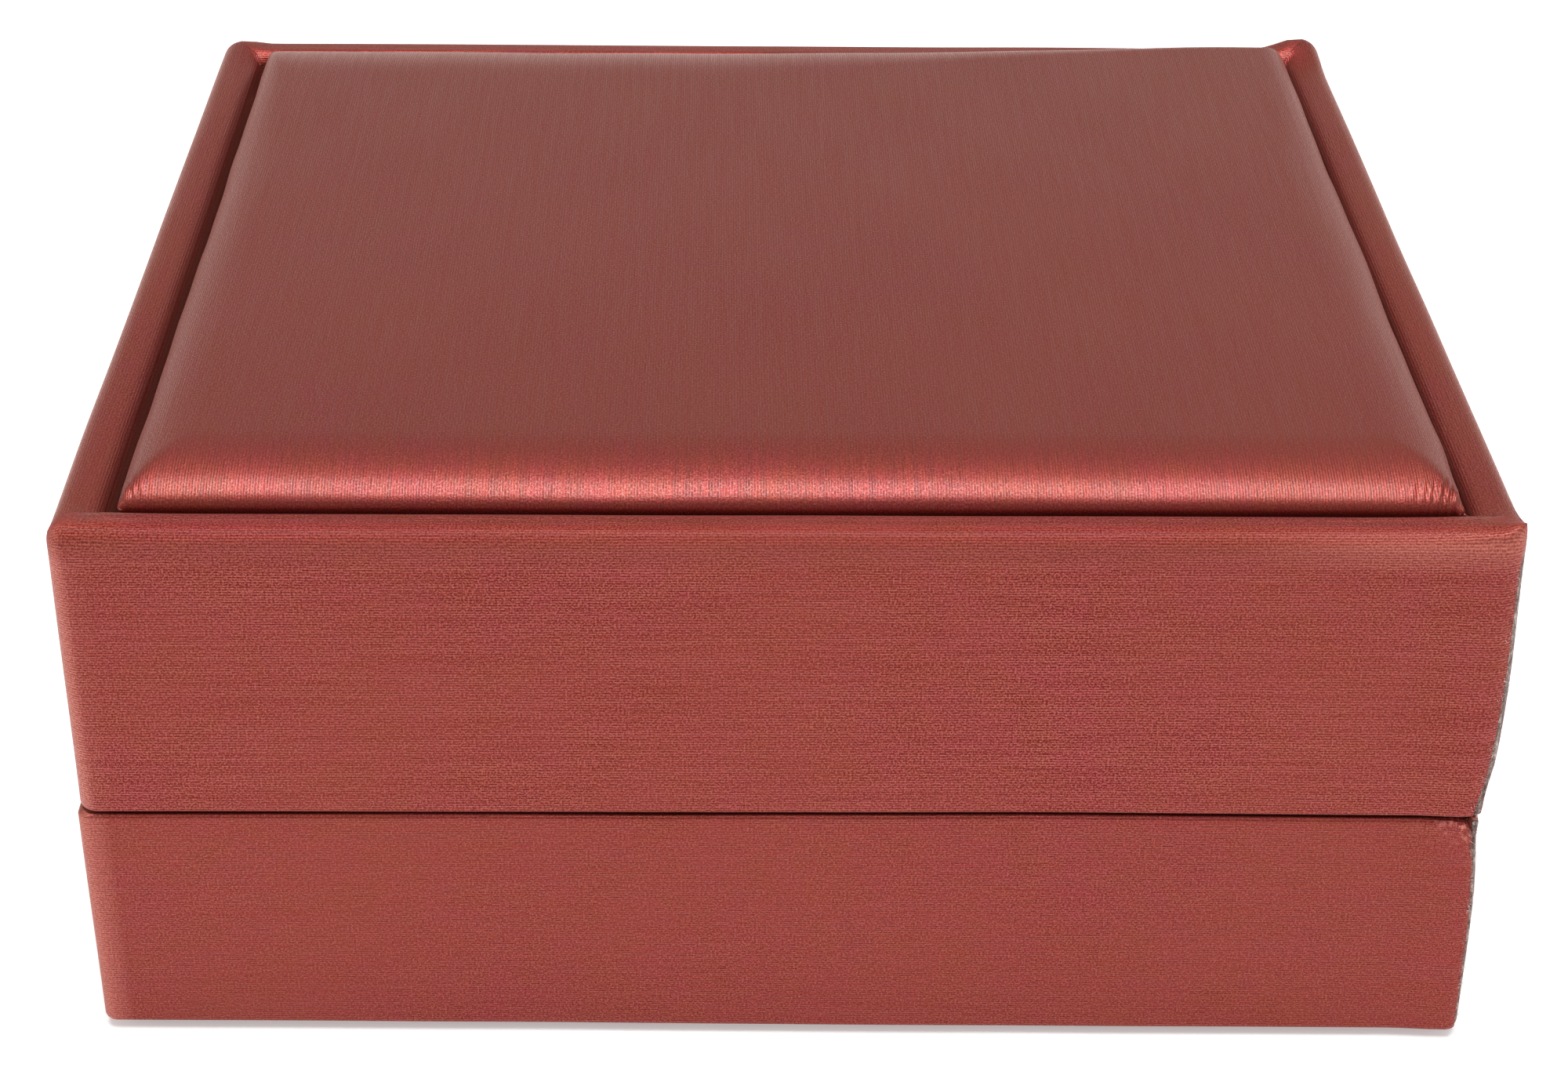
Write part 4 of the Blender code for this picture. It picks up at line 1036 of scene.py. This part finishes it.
rise_share = smooth(panel.z, panel_edge - 1.0 * MM, panel_edge)
folds = puckers(panel, 1, -1, 0.15 * MM, 3.0 * MM) + puckers(panel, -1, -1, 0.05 * MM, 2.0 * MM)
slow = uneven(panel.x, panel.y, 0.5 * panel.x, 0.07 * MM)
panel.z += folds * rise_share + slow * smooth(panel.z, panel_edge, panel_edge + 1.5 * MM)
side_wave = uneven(panel.y, panel.x, 1.3 * panel.y, 0.09 * MM)
for place, size, reach in PANEL_DENTS:
    side_wave += size * hump(panel.y, place, reach) * (panel.x > 0)
panel.x += side_wave * smooth(np.abs(panel.x), panel_half_x - 3 * MM, panel_half_x)
panel.x += PANEL_OFF_CENTRE + PANEL_SHORT * smooth(-panel.x, panel_half_x - 6 * MM, panel_half_x)
end_wave = uneven(panel.x, panel.x, panel.z, 0.07 * MM)
panel.y += end_wave * smooth(np.abs(panel.y), panel_half_y - 3 * MM, panel_half_y)
panel_map = panel.arcs()
lid_panel = grid_mesh(
    "lid_padded_panel",
    panel.points(),
    brushed_covering,
    {"front_ribs": panel_map, "side_ribs": panel_map},
    {mark: (mark in ("lap", "pressed")) + 0 * panel.x for mark in COVERING_MARKS},
    panel.keep,
    around=False,
)
thickened(sewn_shut(lid_panel), COVERING)
fitted(lid_panel, "lid", "lid_pad_cover")

# Foam under the soft surfaces: soft open-cell sheet, cut a little smaller than each cover and
# pressed to its shape. It never shows, but it is there when a cover is taken off.
FOAM_CORNER = 1.0 * MM


def foam_sockets(wire):
    """Cream foam with open cells about half a millimetre across."""
    cells = wire.node("ShaderNodeTexVoronoi", None, {"Vector": wire.place(), "Scale": 2.2})
    return {
        "Base Color": cells.eased(0.1, 0.7).blended((0.60, 0.56, 0.46), (0.82, 0.79, 0.70)),
        "Roughness": 0.95,
        "Normal": wire.bump(cells * 0.15),
    }


foam = new_finish("foam", foam_sockets)


def foam_piece(name, node, edge_share, shoulder, body, upward=True):
    """A closed block in the space of a CAD foam: upright walls, a shoulder and a crown."""
    low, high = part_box(node)
    first, last = (low.z, high.z) if upward else (high.z, low.z)
    edge = first + (last - first) * edge_share
    half_x, half_y = (high.x - low.x) / 2, (high.y - low.y) / 2
    across, along = crowded(half_x, shoulder, 10, 4 * MM), crowded(half_y, shoulder, 10, 4 * MM)
    walls = np.array([[0.0, first + 0.2 * (edge - first)], [0.3 * MM, first], [half_y, first]])
    block = Cushion(low, high, FOAM_CORNER, (shoulder, shoulder), edge, last, across, along, walls)
    points, keep, flip = block.points(), block.keep, not upward
    piece = sewn_shut(grid_mesh(name, points, foam, keep=keep, around=False, flip=flip))
    fitted(piece, body, node)


foam_piece("lid_panel_foam", "lid_pad_foam", 0.15, 6.0 * MM, "lid")
foam_piece("lid_lining_padding", "lid_lining_foam", 0.5, 6.0 * MM, "lid", False)

# The bottom sheet. Plain dark red paper, glued on last to hide the covering's turned-under edges.


def bottom_paper_sockets(wire):
    """Uncoated paper: faint cloudy formation and short fibres."""
    cloud = wire.noise(wire.place(), 0.5, 4.0, 0.6)
    fibres = wire.noise(wire.place((1.0, 6.0, 1.0)), 1.2, 3.0)
    shade = cloud * 0.6 + fibres * 0.4
    return {
        "Base Color": shade.eased(0.3, 0.7).blended((0.045, 0.012, 0.011), (0.085, 0.026, 0.023)),
        "Roughness": 0.85,
        "Normal": wire.bump(fibres * 0.02),
    }


dress(new_finish("bottom_paper", bottom_paper_sockets), "base_bottom_sheet")

# The collar. Strips of card flocked with ivory velvet stand inside the walls and rise over them,
# so that the lid finds its place. The back one is a deeper block with a gap for each hinge.
COLLAR_ROUND = 0.45 * MM
NOTCH_STEP = 0.1 * MM
BELOW_LEAF = 0.6 * MM


def flock_sockets(wire):
    """Short upright pile: soft sheen at the edges, brushed patches that lie lighter or darker, and
    a fine fuzz of single hairs."""
    patch = wire.noise(wire.place(), 0.16, 3.0, 0.6)
    fuzz = wire.noise(wire.place(), 6.5, 2.0, 0.8)
    nap = wire.noise(wire.place((1.0, 0.35, 1.0)), 1.1, 3.0, 0.6)
    shade = patch.eased(0.25, 0.75) * 0.22 + fuzz.eased(0.25, 0.75) * 0.50 + nap * 0.28
    return {
        "Base Color": shade.blended((0.52, 0.465, 0.380), (0.68, 0.625, 0.525)),
        "Roughness": 0.95,
        "Specular IOR Level": 0.15,
        "Sheen Weight": 0.3,
        "Sheen Roughness": 0.4,
        "Sheen Tint": (1.0, 0.97, 0.90, 1.0),
        "Normal": wire.bump(fuzz * 0.07 + nap * 0.05),
    }


flock = new_finish("flock", flock_sockets)


def strip_section(half_thickness, steps):
    """Half-round top of a strip, as offsets across it and down from its top."""
    angle = np.radians(np.linspace(0, 90, steps + 1))
    across = half_thickness - COLLAR_ROUND + COLLAR_ROUND * np.cos(angle)
    down = COLLAR_ROUND - COLLAR_ROUND * np.sin(angle)
    right = np.stack([across, down], 1)
    left = np.stack([-across, down], 1)[::-1]
    return np.concatenate([right, left])


def collar_strip(name, node, along, stations, tops):
    """A strip along X or Y: its rounded section at each station, with its own top height, and
    the foot below. The two ends are closed flat."""
    low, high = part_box(node)
    across_axis = 1 if along == "x" else 0
    half = (high[across_axis] - low[across_axis]) / 2
    middle = (high[across_axis] + low[across_axis]) / 2
    section = strip_section(half, 5)
    foot = np.array([[-half, np.nan], [half, np.nan]])
    outline = np.concatenate([section, foot])
    across = middle + outline[:, 0]
    heights = tops[:, None] - outline[None, :, 1]
    heights = np.where(np.isnan(heights), low.z, heights)
    line = stations[:, None] + 0 * heights
    flat = across[None, :] + 0 * heights
    order = (line, flat, heights) if along == "x" else (flat, line, heights)
    points = np.stack(order, 2)
    caps = [points[:1].mean(1, keepdims=True) + 0 * points[:1], points]
    caps.append(points[-1:].mean(1, keepdims=True) + 0 * points[-1:])
    points = np.concatenate(caps)
    piece = sewn_shut(grid_mesh(name, points, flock, flip=along == "x"))
    piece.data.set_sharp_from_angle(angle=math.radians(40))
    fitted(piece, "base", node)


for side, along in (("front", "x"), ("left", "y"), ("right", "y")):
    low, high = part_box(f"collar_{side}")
    axis = 0 if along == "x" else 1
    stations = np.linspace(low[axis], high[axis], 25)
    tops = high.z + uneven(stations, stations, 0 * stations, 0.05 * MM)
    collar_strip(f"collar_card_{side}", f"collar_{side}", along, stations, tops)

back_low, back_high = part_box("collar_back")
leaf_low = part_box("hinge_base_leaf_left")[0]
notch_edges = np.array([s * HINGE_X + e * POCKET_HALF_WIDTH for s in (-1, 1) for e in (-1, 1)])
even = np.linspace(back_low.x, back_high.x, 33)
back_stations = np.unique(
    np.concatenate([even, notch_edges - NOTCH_STEP, notch_edges + NOTCH_STEP])
)
in_notch = np.abs(np.abs(back_stations) - HINGE_X) < POCKET_HALF_WIDTH
back_tops = np.where(in_notch, leaf_low.z - BELOW_LEAF, back_high.z)
collar_strip("collar_card_back", "collar_back", "x", back_stations, back_tops)

# The insert. Ivory velvet over foam on a folded card platform; it lifts out, and the chain goes
# through its two slots to lie underneath. The velvet sinks a little round each slot.
PILE = 0.5 * MM
SLOT_HALF_LENGTH = 5.0 * MM
SLOT_HALF_WIDTH = 0.7 * MM
SLOT_X = 24.0 * MM
SLOT_FROM_BACK = 12.0 * MM
INSERT_SHOULDER = 5.0 * MM
INSERT_CORNER = 1.2 * MM
INSERT_CROWN = 1.4 * MM
SLOT_DIP = 0.55 * MM
GATHER_PITCH = 5.3 * MM
FOAM_SKIN = 1.0 * MM

insert_low, insert_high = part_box("pad_velvet")
insert_edge = insert_high.z - INSERT_CROWN
insert_middle_y = (insert_high.y + insert_low.y) / 2
slot_y = (insert_high.y - insert_low.y) / 2 - SLOT_FROM_BACK
lips = np.array([-2.6, -1.9, -1.3, -0.8, 0.0, 0.8, 1.3, 1.9, 2.6]) * MM
slot_rows = slot_y + np.sign(lips) * (np.abs(lips) + SLOT_HALF_WIDTH - 0.8 * MM)
slot_ends = SLOT_HALF_LENGTH + np.array([-1.6, -0.9, -0.4, 0.0, 0.5, 1.1, 2.0]) * MM
slot_stations = np.concatenate([s * SLOT_X + e * slot_ends for s in (-1, 1) for e in (-1, 1)])


def spaced(stations, marks, clearance):
    """Stations with marks among them, without the stations that come too near to a mark."""
    gaps = np.abs(stations[:, None] - marks[None, :]).min(1)
    return np.unique(np.round(np.concatenate([stations[gaps > clearance], marks]), 9))


def slotted_cushion(node, corner, edge, steps, spacing, walls):
    """A cushion's skin in the space of a CAD node, with stations at the lips of both slots."""
    low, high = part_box(node)
    across = crowded(high.x, INSERT_SHOULDER, steps, spacing)
    along = crowded((high.y - low.y) / 2, INSERT_SHOULDER, steps, spacing)
    across, along = spaced(across, slot_stations, 0.3 * MM), spaced(along, slot_rows, 0.3 * MM)
    shoulders = (INSERT_SHOULDER, INSERT_SHOULDER)
    return Cushion(low, high, corner, shoulders, edge, high.z, across, along, walls)


def slotted_piece(name, node, skin, material, thickness):
    """The skin as a piece, without the quads of its top whose middles lie in a slot."""
    middle_x = (skin.x[:-1, 1:] + skin.x[:-1, :-1]) / 2
    middle_y = (skin.y[1:, :-1] + skin.y[:-1, :-1]) / 2 - insert_middle_y
    in_slot = (np.abs(np.abs(middle_x) - SLOT_X) < SLOT_HALF_LENGTH) & skin.on_top[1:, 1:]
    in_slot &= np.abs(middle_y - slot_y) < SLOT_HALF_WIDTH
    keep = skin.keep & ~in_slot
    piece = sewn_shut(grid_mesh(name, skin.points(), material, keep=keep, around=False))
    thickened(piece, thickness)
    fitted(piece, "pad", node)


insert_walls = np.stack([np.zeros(7), np.linspace(insert_edge, insert_low.z, 8)[1:]], 1)
insert_skin = slotted_cushion("pad_velvet", INSERT_CORNER, insert_edge, 14, 1.3 * MM, insert_walls)
ix, iy = insert_skin.x, insert_skin.y - insert_middle_y
slot_gap_x = np.maximum(np.abs(np.abs(ix) - SLOT_X) - SLOT_HALF_LENGTH, 0)
slot_gap_y = np.maximum(np.abs(iy - slot_y) - SLOT_HALF_WIDTH, 0)
to_slot = np.hypot(slot_gap_x, slot_gap_y)
gather = np.sin(2 * math.pi * (ix + iy) / GATHER_PITCH + 2 * np.sin((ix - iy) / (9 * MM)))
inward = np.minimum(insert_skin.from_side, insert_skin.from_end)
insert_skin.z -= SLOT_DIP * hump(to_slot, 0.0, 1.1 * MM) * insert_skin.on_top
insert_skin.z += uneven(ix, iy, 0 * ix, 0.10 * MM) * smooth(inward, 0, 5 * MM)
insert_skin.z += 0.05 * MM * gather * hump(inward, 2 * MM, 2 * MM)
slotted_piece("velvet_insert", "pad_velvet", insert_skin, flock, PILE)

foam_low, foam_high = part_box("pad_foam")
foam_edge = foam_low.z + 0.4 * (foam_high.z - foam_low.z)
foam_walls = np.array([[0.0, foam_low.z + 0.2 * MM]])
foam_skin = slotted_cushion("pad_foam", FOAM_CORNER, foam_edge, 8, 4 * MM, foam_walls)
slotted_piece("insert_foam", "pad_foam", foam_skin, foam, FOAM_SKIN)

# The lining inside the lid. Ivory satin is drawn over a thin foam pad and glued behind it, which
# leaves soft gathers along its edges.
SATIN = 0.4 * MM
LINING_EDGE_SHARE = 0.70
LINING_SHOULDER = 7.0 * MM
LINING_CORNER = 1.2 * MM
LINING_FOLD = 0.16 * MM
FOLD_PITCH = 4.6 * MM


def satin_sockets(wire):
    """Ivory satin: floats of thread along X give a fine bump and a smooth shine."""
    threads = wire.noise(wire.place((0.25, 8.0, 1.0)), 1.0, 2.0, 0.6)
    cloud = wire.noise(wire.place(), 0.10, 2.0)
    shade = threads * 0.8 + cloud.eased(0.2, 0.8) * 0.2
    return {
        "Base Color": shade.blended((0.60, 0.545, 0.455), (0.70, 0.645, 0.550)),
        "Roughness": 0.26 + threads * 0.12,
        "Specular IOR Level": 0.8,
        "Sheen Weight": 0.15,
        "Sheen Roughness": 0.3,
        "Coat Weight": 0.15,
        "Coat Roughness": 0.25,
        "Normal": wire.bump(threads * 0.030),
    }


satin = new_finish("satin", satin_sockets)
lining_low, lining_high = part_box("lid_lining_satin")
lining_edge = lining_high.z - LINING_EDGE_SHARE * (lining_high.z - lining_low.z)
lining_skin = Cushion(
    lining_low,
    lining_high,
    LINING_CORNER,
    (LINING_SHOULDER, LINING_SHOULDER),
    lining_edge,
    lining_low.z,
    crowded(lining_high.x, LINING_SHOULDER, 22, 0.8 * MM),
    crowded(lining_high.y, LINING_SHOULDER, 22, 0.8 * MM),
    np.stack([np.zeros(4), np.linspace(lining_edge, lining_high.z, 5)[1:]], 1),
)
lx, ly = lining_skin.x, lining_skin.y
to_edge = np.minimum(lining_skin.from_side, lining_skin.from_end)
near_end = smooth(lining_skin.from_side - lining_skin.from_end, -2 * MM, 2 * MM)


def gathers(along):
    """Soft folds square to an edge: a bunched sine wave and a quicker one."""
    phase = 2 * math.pi * along / FOLD_PITCH
    return np.sin(phase + 1.8 * np.sin(phase / 4.1)) + 0.5 * np.sin(phase * 1.9 + 0.8)


fold_size = LINING_FOLD * hump(to_edge, 1.5 * MM, 3.2 * MM) * lining_skin.on_top
lining_skin.z -= fold_size * (gathers(lx) * near_end + gathers(ly) * (1 - near_end))
lining_skin.z -= uneven(lx, ly, 0 * lx, 0.12 * MM) * smooth(to_edge, 0, 6 * MM)
lining = grid_mesh(
    "lid_satin_lining", lining_skin.points(), satin, keep=lining_skin.keep, around=False, flip=True
)
thickened(sewn_shut(lining), SATIN)
fitted(lining, "lid", "lid_lining_satin")

# The two sprung hinges. Each is a pair of leaves rolled from thin plated sheet round a steel pin,
# with a bowed spring hooked between them that snaps the lid shut or open, held by four tacks.
LEAF = 0.6 * MM
LEAF_CORNER = 1.2 * MM
KNUCKLE_COUNT = 5
KNUCKLE_GAP = 0.3 * MM
ROLL_RADIUS = 0.85 * MM
LEAF_BEND = 0.6 * MM
ROLL_TURN = math.radians(270)
FLAT_ROWS, BEND_ROWS, ROLL_ROWS = 14, 6, 31
METAL_CREASE = math.radians(50)
CORNER_STEPS = np.array([0.4, 0.8]) * MM
SPRING = 0.25 * MM
SPRING_WIDTH = 6.0 * MM
SPRING_REACH = 4.6 * MM
SPRING_BOW = 1.6 * MM
SPRING_GAP = 0.3 * MM
SLIT_HALF_WIDTH = 3.3 * MM
SLIT_HALF_HEIGHT = 0.42 * MM
TURNED_SIDES = 24
TACK_HEAD = 0.45 * MM
TACK_DOME = 0.4 * MM
TACK_RADIUS = 0.45 * MM
TACK_POINT = 0.9 * MM
PIN_HEAD = 0.5 * MM
PIN_DOME = 0.3 * MM
PIN_RADIUS = 0.5 * MM


def metal_sockets(base, worn, roughness):
    """Plated metal: long polishing lines, a few dull patches and small changes of tone."""

    def sockets(wire):
        lines = wire.noise(wire.place((0.2, 1.0, 9.0)), 1.0, 3.0, 0.6)
        dull = wire.noise(wire.place(), 0.7, 3.0)
        return {
            # The second tone is the real colour of the dull patches; no light is painted here.
            "Base Color": dull.eased(0.35, 0.70).blended(base, worn),
            "Metallic": 1.0,
            "Roughness": lines * 0.16 + dull * 0.10 + roughness,
            "Normal": wire.bump(lines * 0.006),
        }

    return sockets


plated_steel = new_finish(
    "plated_steel", metal_sockets((0.72, 0.66, 0.55), (0.60, 0.53, 0.42), 0.16)
)
spring_steel = new_finish(
    "spring_steel", metal_sockets((0.62, 0.62, 0.64), (0.48, 0.48, 0.50), 0.12)
)

leaf_y = leaf_low.y + LEAF / 2 - AXIS.y
leaf_foot = AXIS.z - leaf_low.z
knuckle_width = (HINGE_WIDTH - (KNUCKLE_COUNT - 1) * KNUCKLE_GAP) / KNUCKLE_COUNT


def sheet_points(x, path, foot_round):
    """A sheet's points from stations across it and a path of y and z about the axis. Its foot, the
    path's start, is rounded off towards both edges."""
    across = x[None, :] + 0 * path[:, :1]
    half = (x[-1] - x[0]) / 2
    middle = (x[-1] + x[0]) / 2
    beyond = np.maximum(np.abs(across - middle) - (half - foot_round), 0.0)
    short = foot_round - np.sqrt(np.maximum(foot_round**2 - beyond**2, 0.0))
    foot_height = path[0, 1]
    side = np.sign(foot_height)
    limited = side * np.minimum(side * path[:, 1:2], abs(foot_height) - short)
    return np.stack([across, AXIS.y + path[:, :1] + 0 * across, AXIS.z + limited], 2)


def leaf_path(side):
    """A leaf about the axis: flat from its foot, bent back, then rolled three quarters round. The
    rows nearest to the slit are moved to its two edges."""
    heights = np.linspace(leaf_foot, ROLL_RADIUS + LEAF_BEND, FLAT_ROWS + 1)[:-1]
    flat = np.stack([np.full(FLAT_ROWS, leaf_y), heights], 1)
    turn = np.radians(np.linspace(180, 270, BEND_ROWS))[:, None]
    bend = np.array([[leaf_y + LEAF_BEND, ROLL_RADIUS + LEAF_BEND]])
    bend = bend + LEAF_BEND * np.concatenate([np.cos(turn), np.sin(turn)], 1)
    roll = math.pi / 2 - ROLL_TURN * np.linspace(0, 1, ROLL_ROWS)[:, None]
    eye = ROLL_RADIUS * np.concatenate([np.cos(roll), np.sin(roll)], 1)
    path = np.concatenate([flat, bend, eye]) * np.array([1.0, side])
    for height in side * (SPRING_REACH + np.array([-1, 1]) * SLIT_HALF_HEIGHT):
        nearest = np.argmin(np.abs(path[:FLAT_ROWS, 1] - height))
        path[nearest, 1] = height
    return path


def hinge_leaf(side_name, hinge_x, owner, side, first):
    """A leaf with every second knuckle of its hinge, and a slit for the end of the spring."""
    starts = hinge_x - HINGE_WIDTH / 2 + np.arange(KNUCKLE_COUNT) * (knuckle_width + KNUCKLE_GAP)
    slit = hinge_x + np.array([-SLIT_HALF_WIDTH, SLIT_HALF_WIDTH])
    edges = hinge_x + np.array([-1, 1]) * HINGE_WIDTH / 2
    rounded = np.concatenate([edges[0] + CORNER_STEPS, edges[1] - CORNER_STEPS])
    even = np.linspace(*edges, 19)
    stations = np.concatenate([starts, starts + knuckle_width, slit, edges, rounded, even])
    stations = np.unique(np.round(stations, 9))
    path = leaf_path(side)
    middle_x = (stations[1:] + stations[:-1])[None, :] / 2
    middle_z = (path[1:, 1] + path[:-1, 1])[:, None] / 2
    row = np.arange(len(path) - 1)[:, None]
    in_slit = (np.abs(middle_x - hinge_x) < SLIT_HALF_WIDTH) & (row < FLAT_ROWS - 1)
    in_slit &= np.abs(middle_z - side * SPRING_REACH) < SLIT_HALF_HEIGHT
    own = np.zeros_like(middle_x, bool)
    for start in starts[first::2]:
        own |= (middle_x > start) & (middle_x < start + knuckle_width)
    keep = ~in_slit & ((row < FLAT_ROWS + 2) | own)
    points = sheet_points(stations, path, LEAF_CORNER)
    name = f"{owner}_leaf_{side_name}"
    leaf = grid_mesh(name, points, plated_steel, keep=keep, around=False)
    leaf.data.set_sharp_from_angle(angle=METAL_CREASE)
    fitted(thickened(leaf, LEAF, 0.0), owner, f"hinge_{name}")


def turned(name, profile, centre, along):
    """A turned piece of plated steel: a profile of radius and distance, spun about an axis through
    its centre."""
    angle = np.linspace(0, 2 * math.pi, TURNED_SIDES, endpoint=False)
    radius, distance = profile[:, :1], profile[:, 1:2]
    ring_a, ring_b = radius * np.cos(angle), radius * np.sin(angle)
    length = distance + 0 * ring_a
    order = (length, ring_a, ring_b) if along == "x" else (ring_b, length, ring_a)
    points = np.stack(order, 2) + np.array(centre)
    return sewn_shut(grid_mesh(name, points, plated_steel))


def hinge_tack(side_name, owner, place):
    """A tack with a low dome for a head and a pointed shank."""
    low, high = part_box(f"tack_{owner}_{side_name}_{place}")
    centre = ((low.x + high.x) / 2, 0.0, (low.z + high.z) / 2)
    head, under_head = (high.x - low.x) / 2, low.y + TACK_HEAD
    angle = np.radians(np.linspace(0, 90, 8))
    dome = np.stack([head * np.sin(angle), low.y + TACK_DOME * (1 - np.cos(angle))], 1)
    shank = np.array(
        [
            [head, under_head],
            [TACK_RADIUS, under_head],
            [TACK_RADIUS, high.y - TACK_POINT],
            [0.0, high.y],
        ]
    )
    profile = np.concatenate([dome, shank])
    tack = turned(f"tack_head_{owner}_{side_name}_{place}", profile, centre, "y")
    fitted(tack, owner, f"tack_{owner}_{side_name}_{place}")


def hinge_pin(side_name):
    """A pin with a domed head at each end."""
    low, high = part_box(f"hinge_pin_{side_name}")
    head, half = (high.z - low.z) / 2, (high.x - low.x) / 2
    angle = np.radians(np.linspace(0, 90, 6))
    dome = np.stack([head * np.sin(angle), half - PIN_DOME * (1 - np.cos(angle))], 1)
    neck = np.array([[head, half - PIN_HEAD], [PIN_RADIUS, half - PIN_HEAD]])
    one_end = np.concatenate([dome, neck])
    other_end = one_end[::-1] * np.array([1.0, -1.0])
    profile = np.concatenate([one_end, other_end])[::-1]
    pin = turned(f"pin_{side_name}", profile, ((low.x + high.x) / 2, AXIS.y, AXIS.z), "x")
    fitted(pin, "base", f"hinge_pin_{side_name}")


def hinge_spring(side_name, hinge_x):
    """A strip bowed to a circle's arc, with its two ends hooked into the slits of the leaves."""
    bow_radius = (SPRING_REACH**2 + SPRING_BOW**2) / (2 * SPRING_BOW)
    half_angle = math.asin(SPRING_REACH / bow_radius)
    root = leaf_y - LEAF / 2 - SPRING_GAP - SPRING / 2
    angle = np.linspace(-half_angle, half_angle, 41)
    bow_y = root - SPRING_BOW + bow_radius - bow_radius * np.cos(angle)
    bow = np.stack([bow_y, bow_radius * np.sin(angle)], 1)
    hooks = np.array([[leaf_y, -SPRING_REACH], [leaf_y, SPRING_REACH]])
    path = np.concatenate([hooks[:1], bow, hooks[1:]])
    points = sheet_points(hinge_x + np.linspace(-0.5, 0.5, 7) * SPRING_WIDTH, path, 0.0)
    spring = grid_mesh(f"spring_{side_name}", points, spring_steel, around=False)
    spring.data.set_sharp_from_angle(angle=METAL_CREASE)
    fitted(thickened(spring, SPRING, 0.0), None, f"hinge_spring_{side_name}")
    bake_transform(spring)


for side_name, hinge_x in (("left", -HINGE_X), ("right", HINGE_X)):
    for owner, side, first in (("base", -1, 0), ("lid", 1, 1)):
        hinge_leaf(side_name, hinge_x, owner, side, first)
        hinge_tack(side_name, owner, "inner")
        hinge_tack(side_name, owner, "outer")
    hinge_pin(side_name)
    hinge_spring(side_name, hinge_x)

# The studio: a pale floor, a soft box straight over the object, a weaker lamp on each side and
# pale surroundings that are dim towards the front, where the room behind the camera is unlit.
FLOOR_SIZE = 3.0


def floor_sockets(wire):
    """Matt white paper with the faintest mottling. Seen straight or in a polished face it is lit
    from behind a little, so that it reads as white and still holds the box's shadow."""
    tone = wire.noise(wire.place(), 0.01, 2.0)
    rays = ("Is Camera Ray", "Is Glossy Ray", "Is Transmission Ray")
    straight, glossy, through = [wire.node("ShaderNodeLightPath", output=ray) for ray in rays]
    seen = (straight + glossy + through).capped(1.0)
    return {
        "Base Color": tone.blended((0.78, 0.78, 0.78), (0.80, 0.80, 0.80)),
        "Roughness": 0.9,
        "Specular IOR Level": 0.1,
        "Emission Color": seen.blended((0.0, 0.0, 0.0), (1.0, 1.0, 1.0)),
        "Emission Strength": 0.36,
    }


half_floor = FLOOR_SIZE / 2
floor_line = np.linspace(-half_floor, half_floor, 5)
floor_points = np.stack(np.meshgrid(floor_line, floor_line, [0.0]), -1)[:, :, 0]
floor = grid_mesh("floor", floor_points, new_finish("floor", floor_sockets), around=False)


def soft_lamp(name, place, aim, size, watts):
    """A square soft lamp that looks at a point."""
    lamp = bpy.data.lights.new(name, "AREA")
    lamp.shape = "RECTANGLE"
    lamp.size, lamp.size_y = size
    lamp.energy = watts
    holder = bpy.data.objects.new(name, lamp)
    bpy.context.scene.collection.objects.link(holder)
    holder.location = place
    away = Vector(place) - Vector(aim)
    holder.rotation_euler = away.to_track_quat("Z", "Y").to_euler()
    return holder


soft_lamp("overhead_lamp", (0.0, -0.09, 0.60), (0.0, -0.09, 0.02), (0.44, 0.38), 4.4)
soft_lamp("left_lamp", (-0.95, -0.25, 0.28), (0.0, 0.0, 0.02), (0.5, 0.5), 1.4)
soft_lamp("right_lamp", (0.95, -0.25, 0.28), (0.0, 0.0, 0.02), (0.5, 0.5), 1.4)

world = bpy.data.worlds.new("surroundings")
bpy.context.scene.world = world
world.use_nodes = True
world.node_tree.nodes.clear()
sky = Wire(world.node_tree)
looked_along = sky.node("ShaderNodeTexCoord")
back = sky.node("ShaderNodeSeparateXYZ", None, {0: looked_along}, "Y")
up = sky.node("ShaderNodeSeparateXYZ", None, {0: looked_along}, "Z")
level = up.eased(0.10, 0.42) * -0.48 + 0.92
ahead = (back * -1).eased(0.15, 0.75) * (1 - up.eased(0.50, 0.80))
level = level * (1 - ahead * 0.50)
light = sky.node("ShaderNodeBackground", None, {"Color": (1, 1, 1, 1), "Strength": level})
sky.node("ShaderNodeOutputWorld", None, {"Surface": light})

scene = bpy.context.scene
scene.view_settings.view_transform = "Standard"
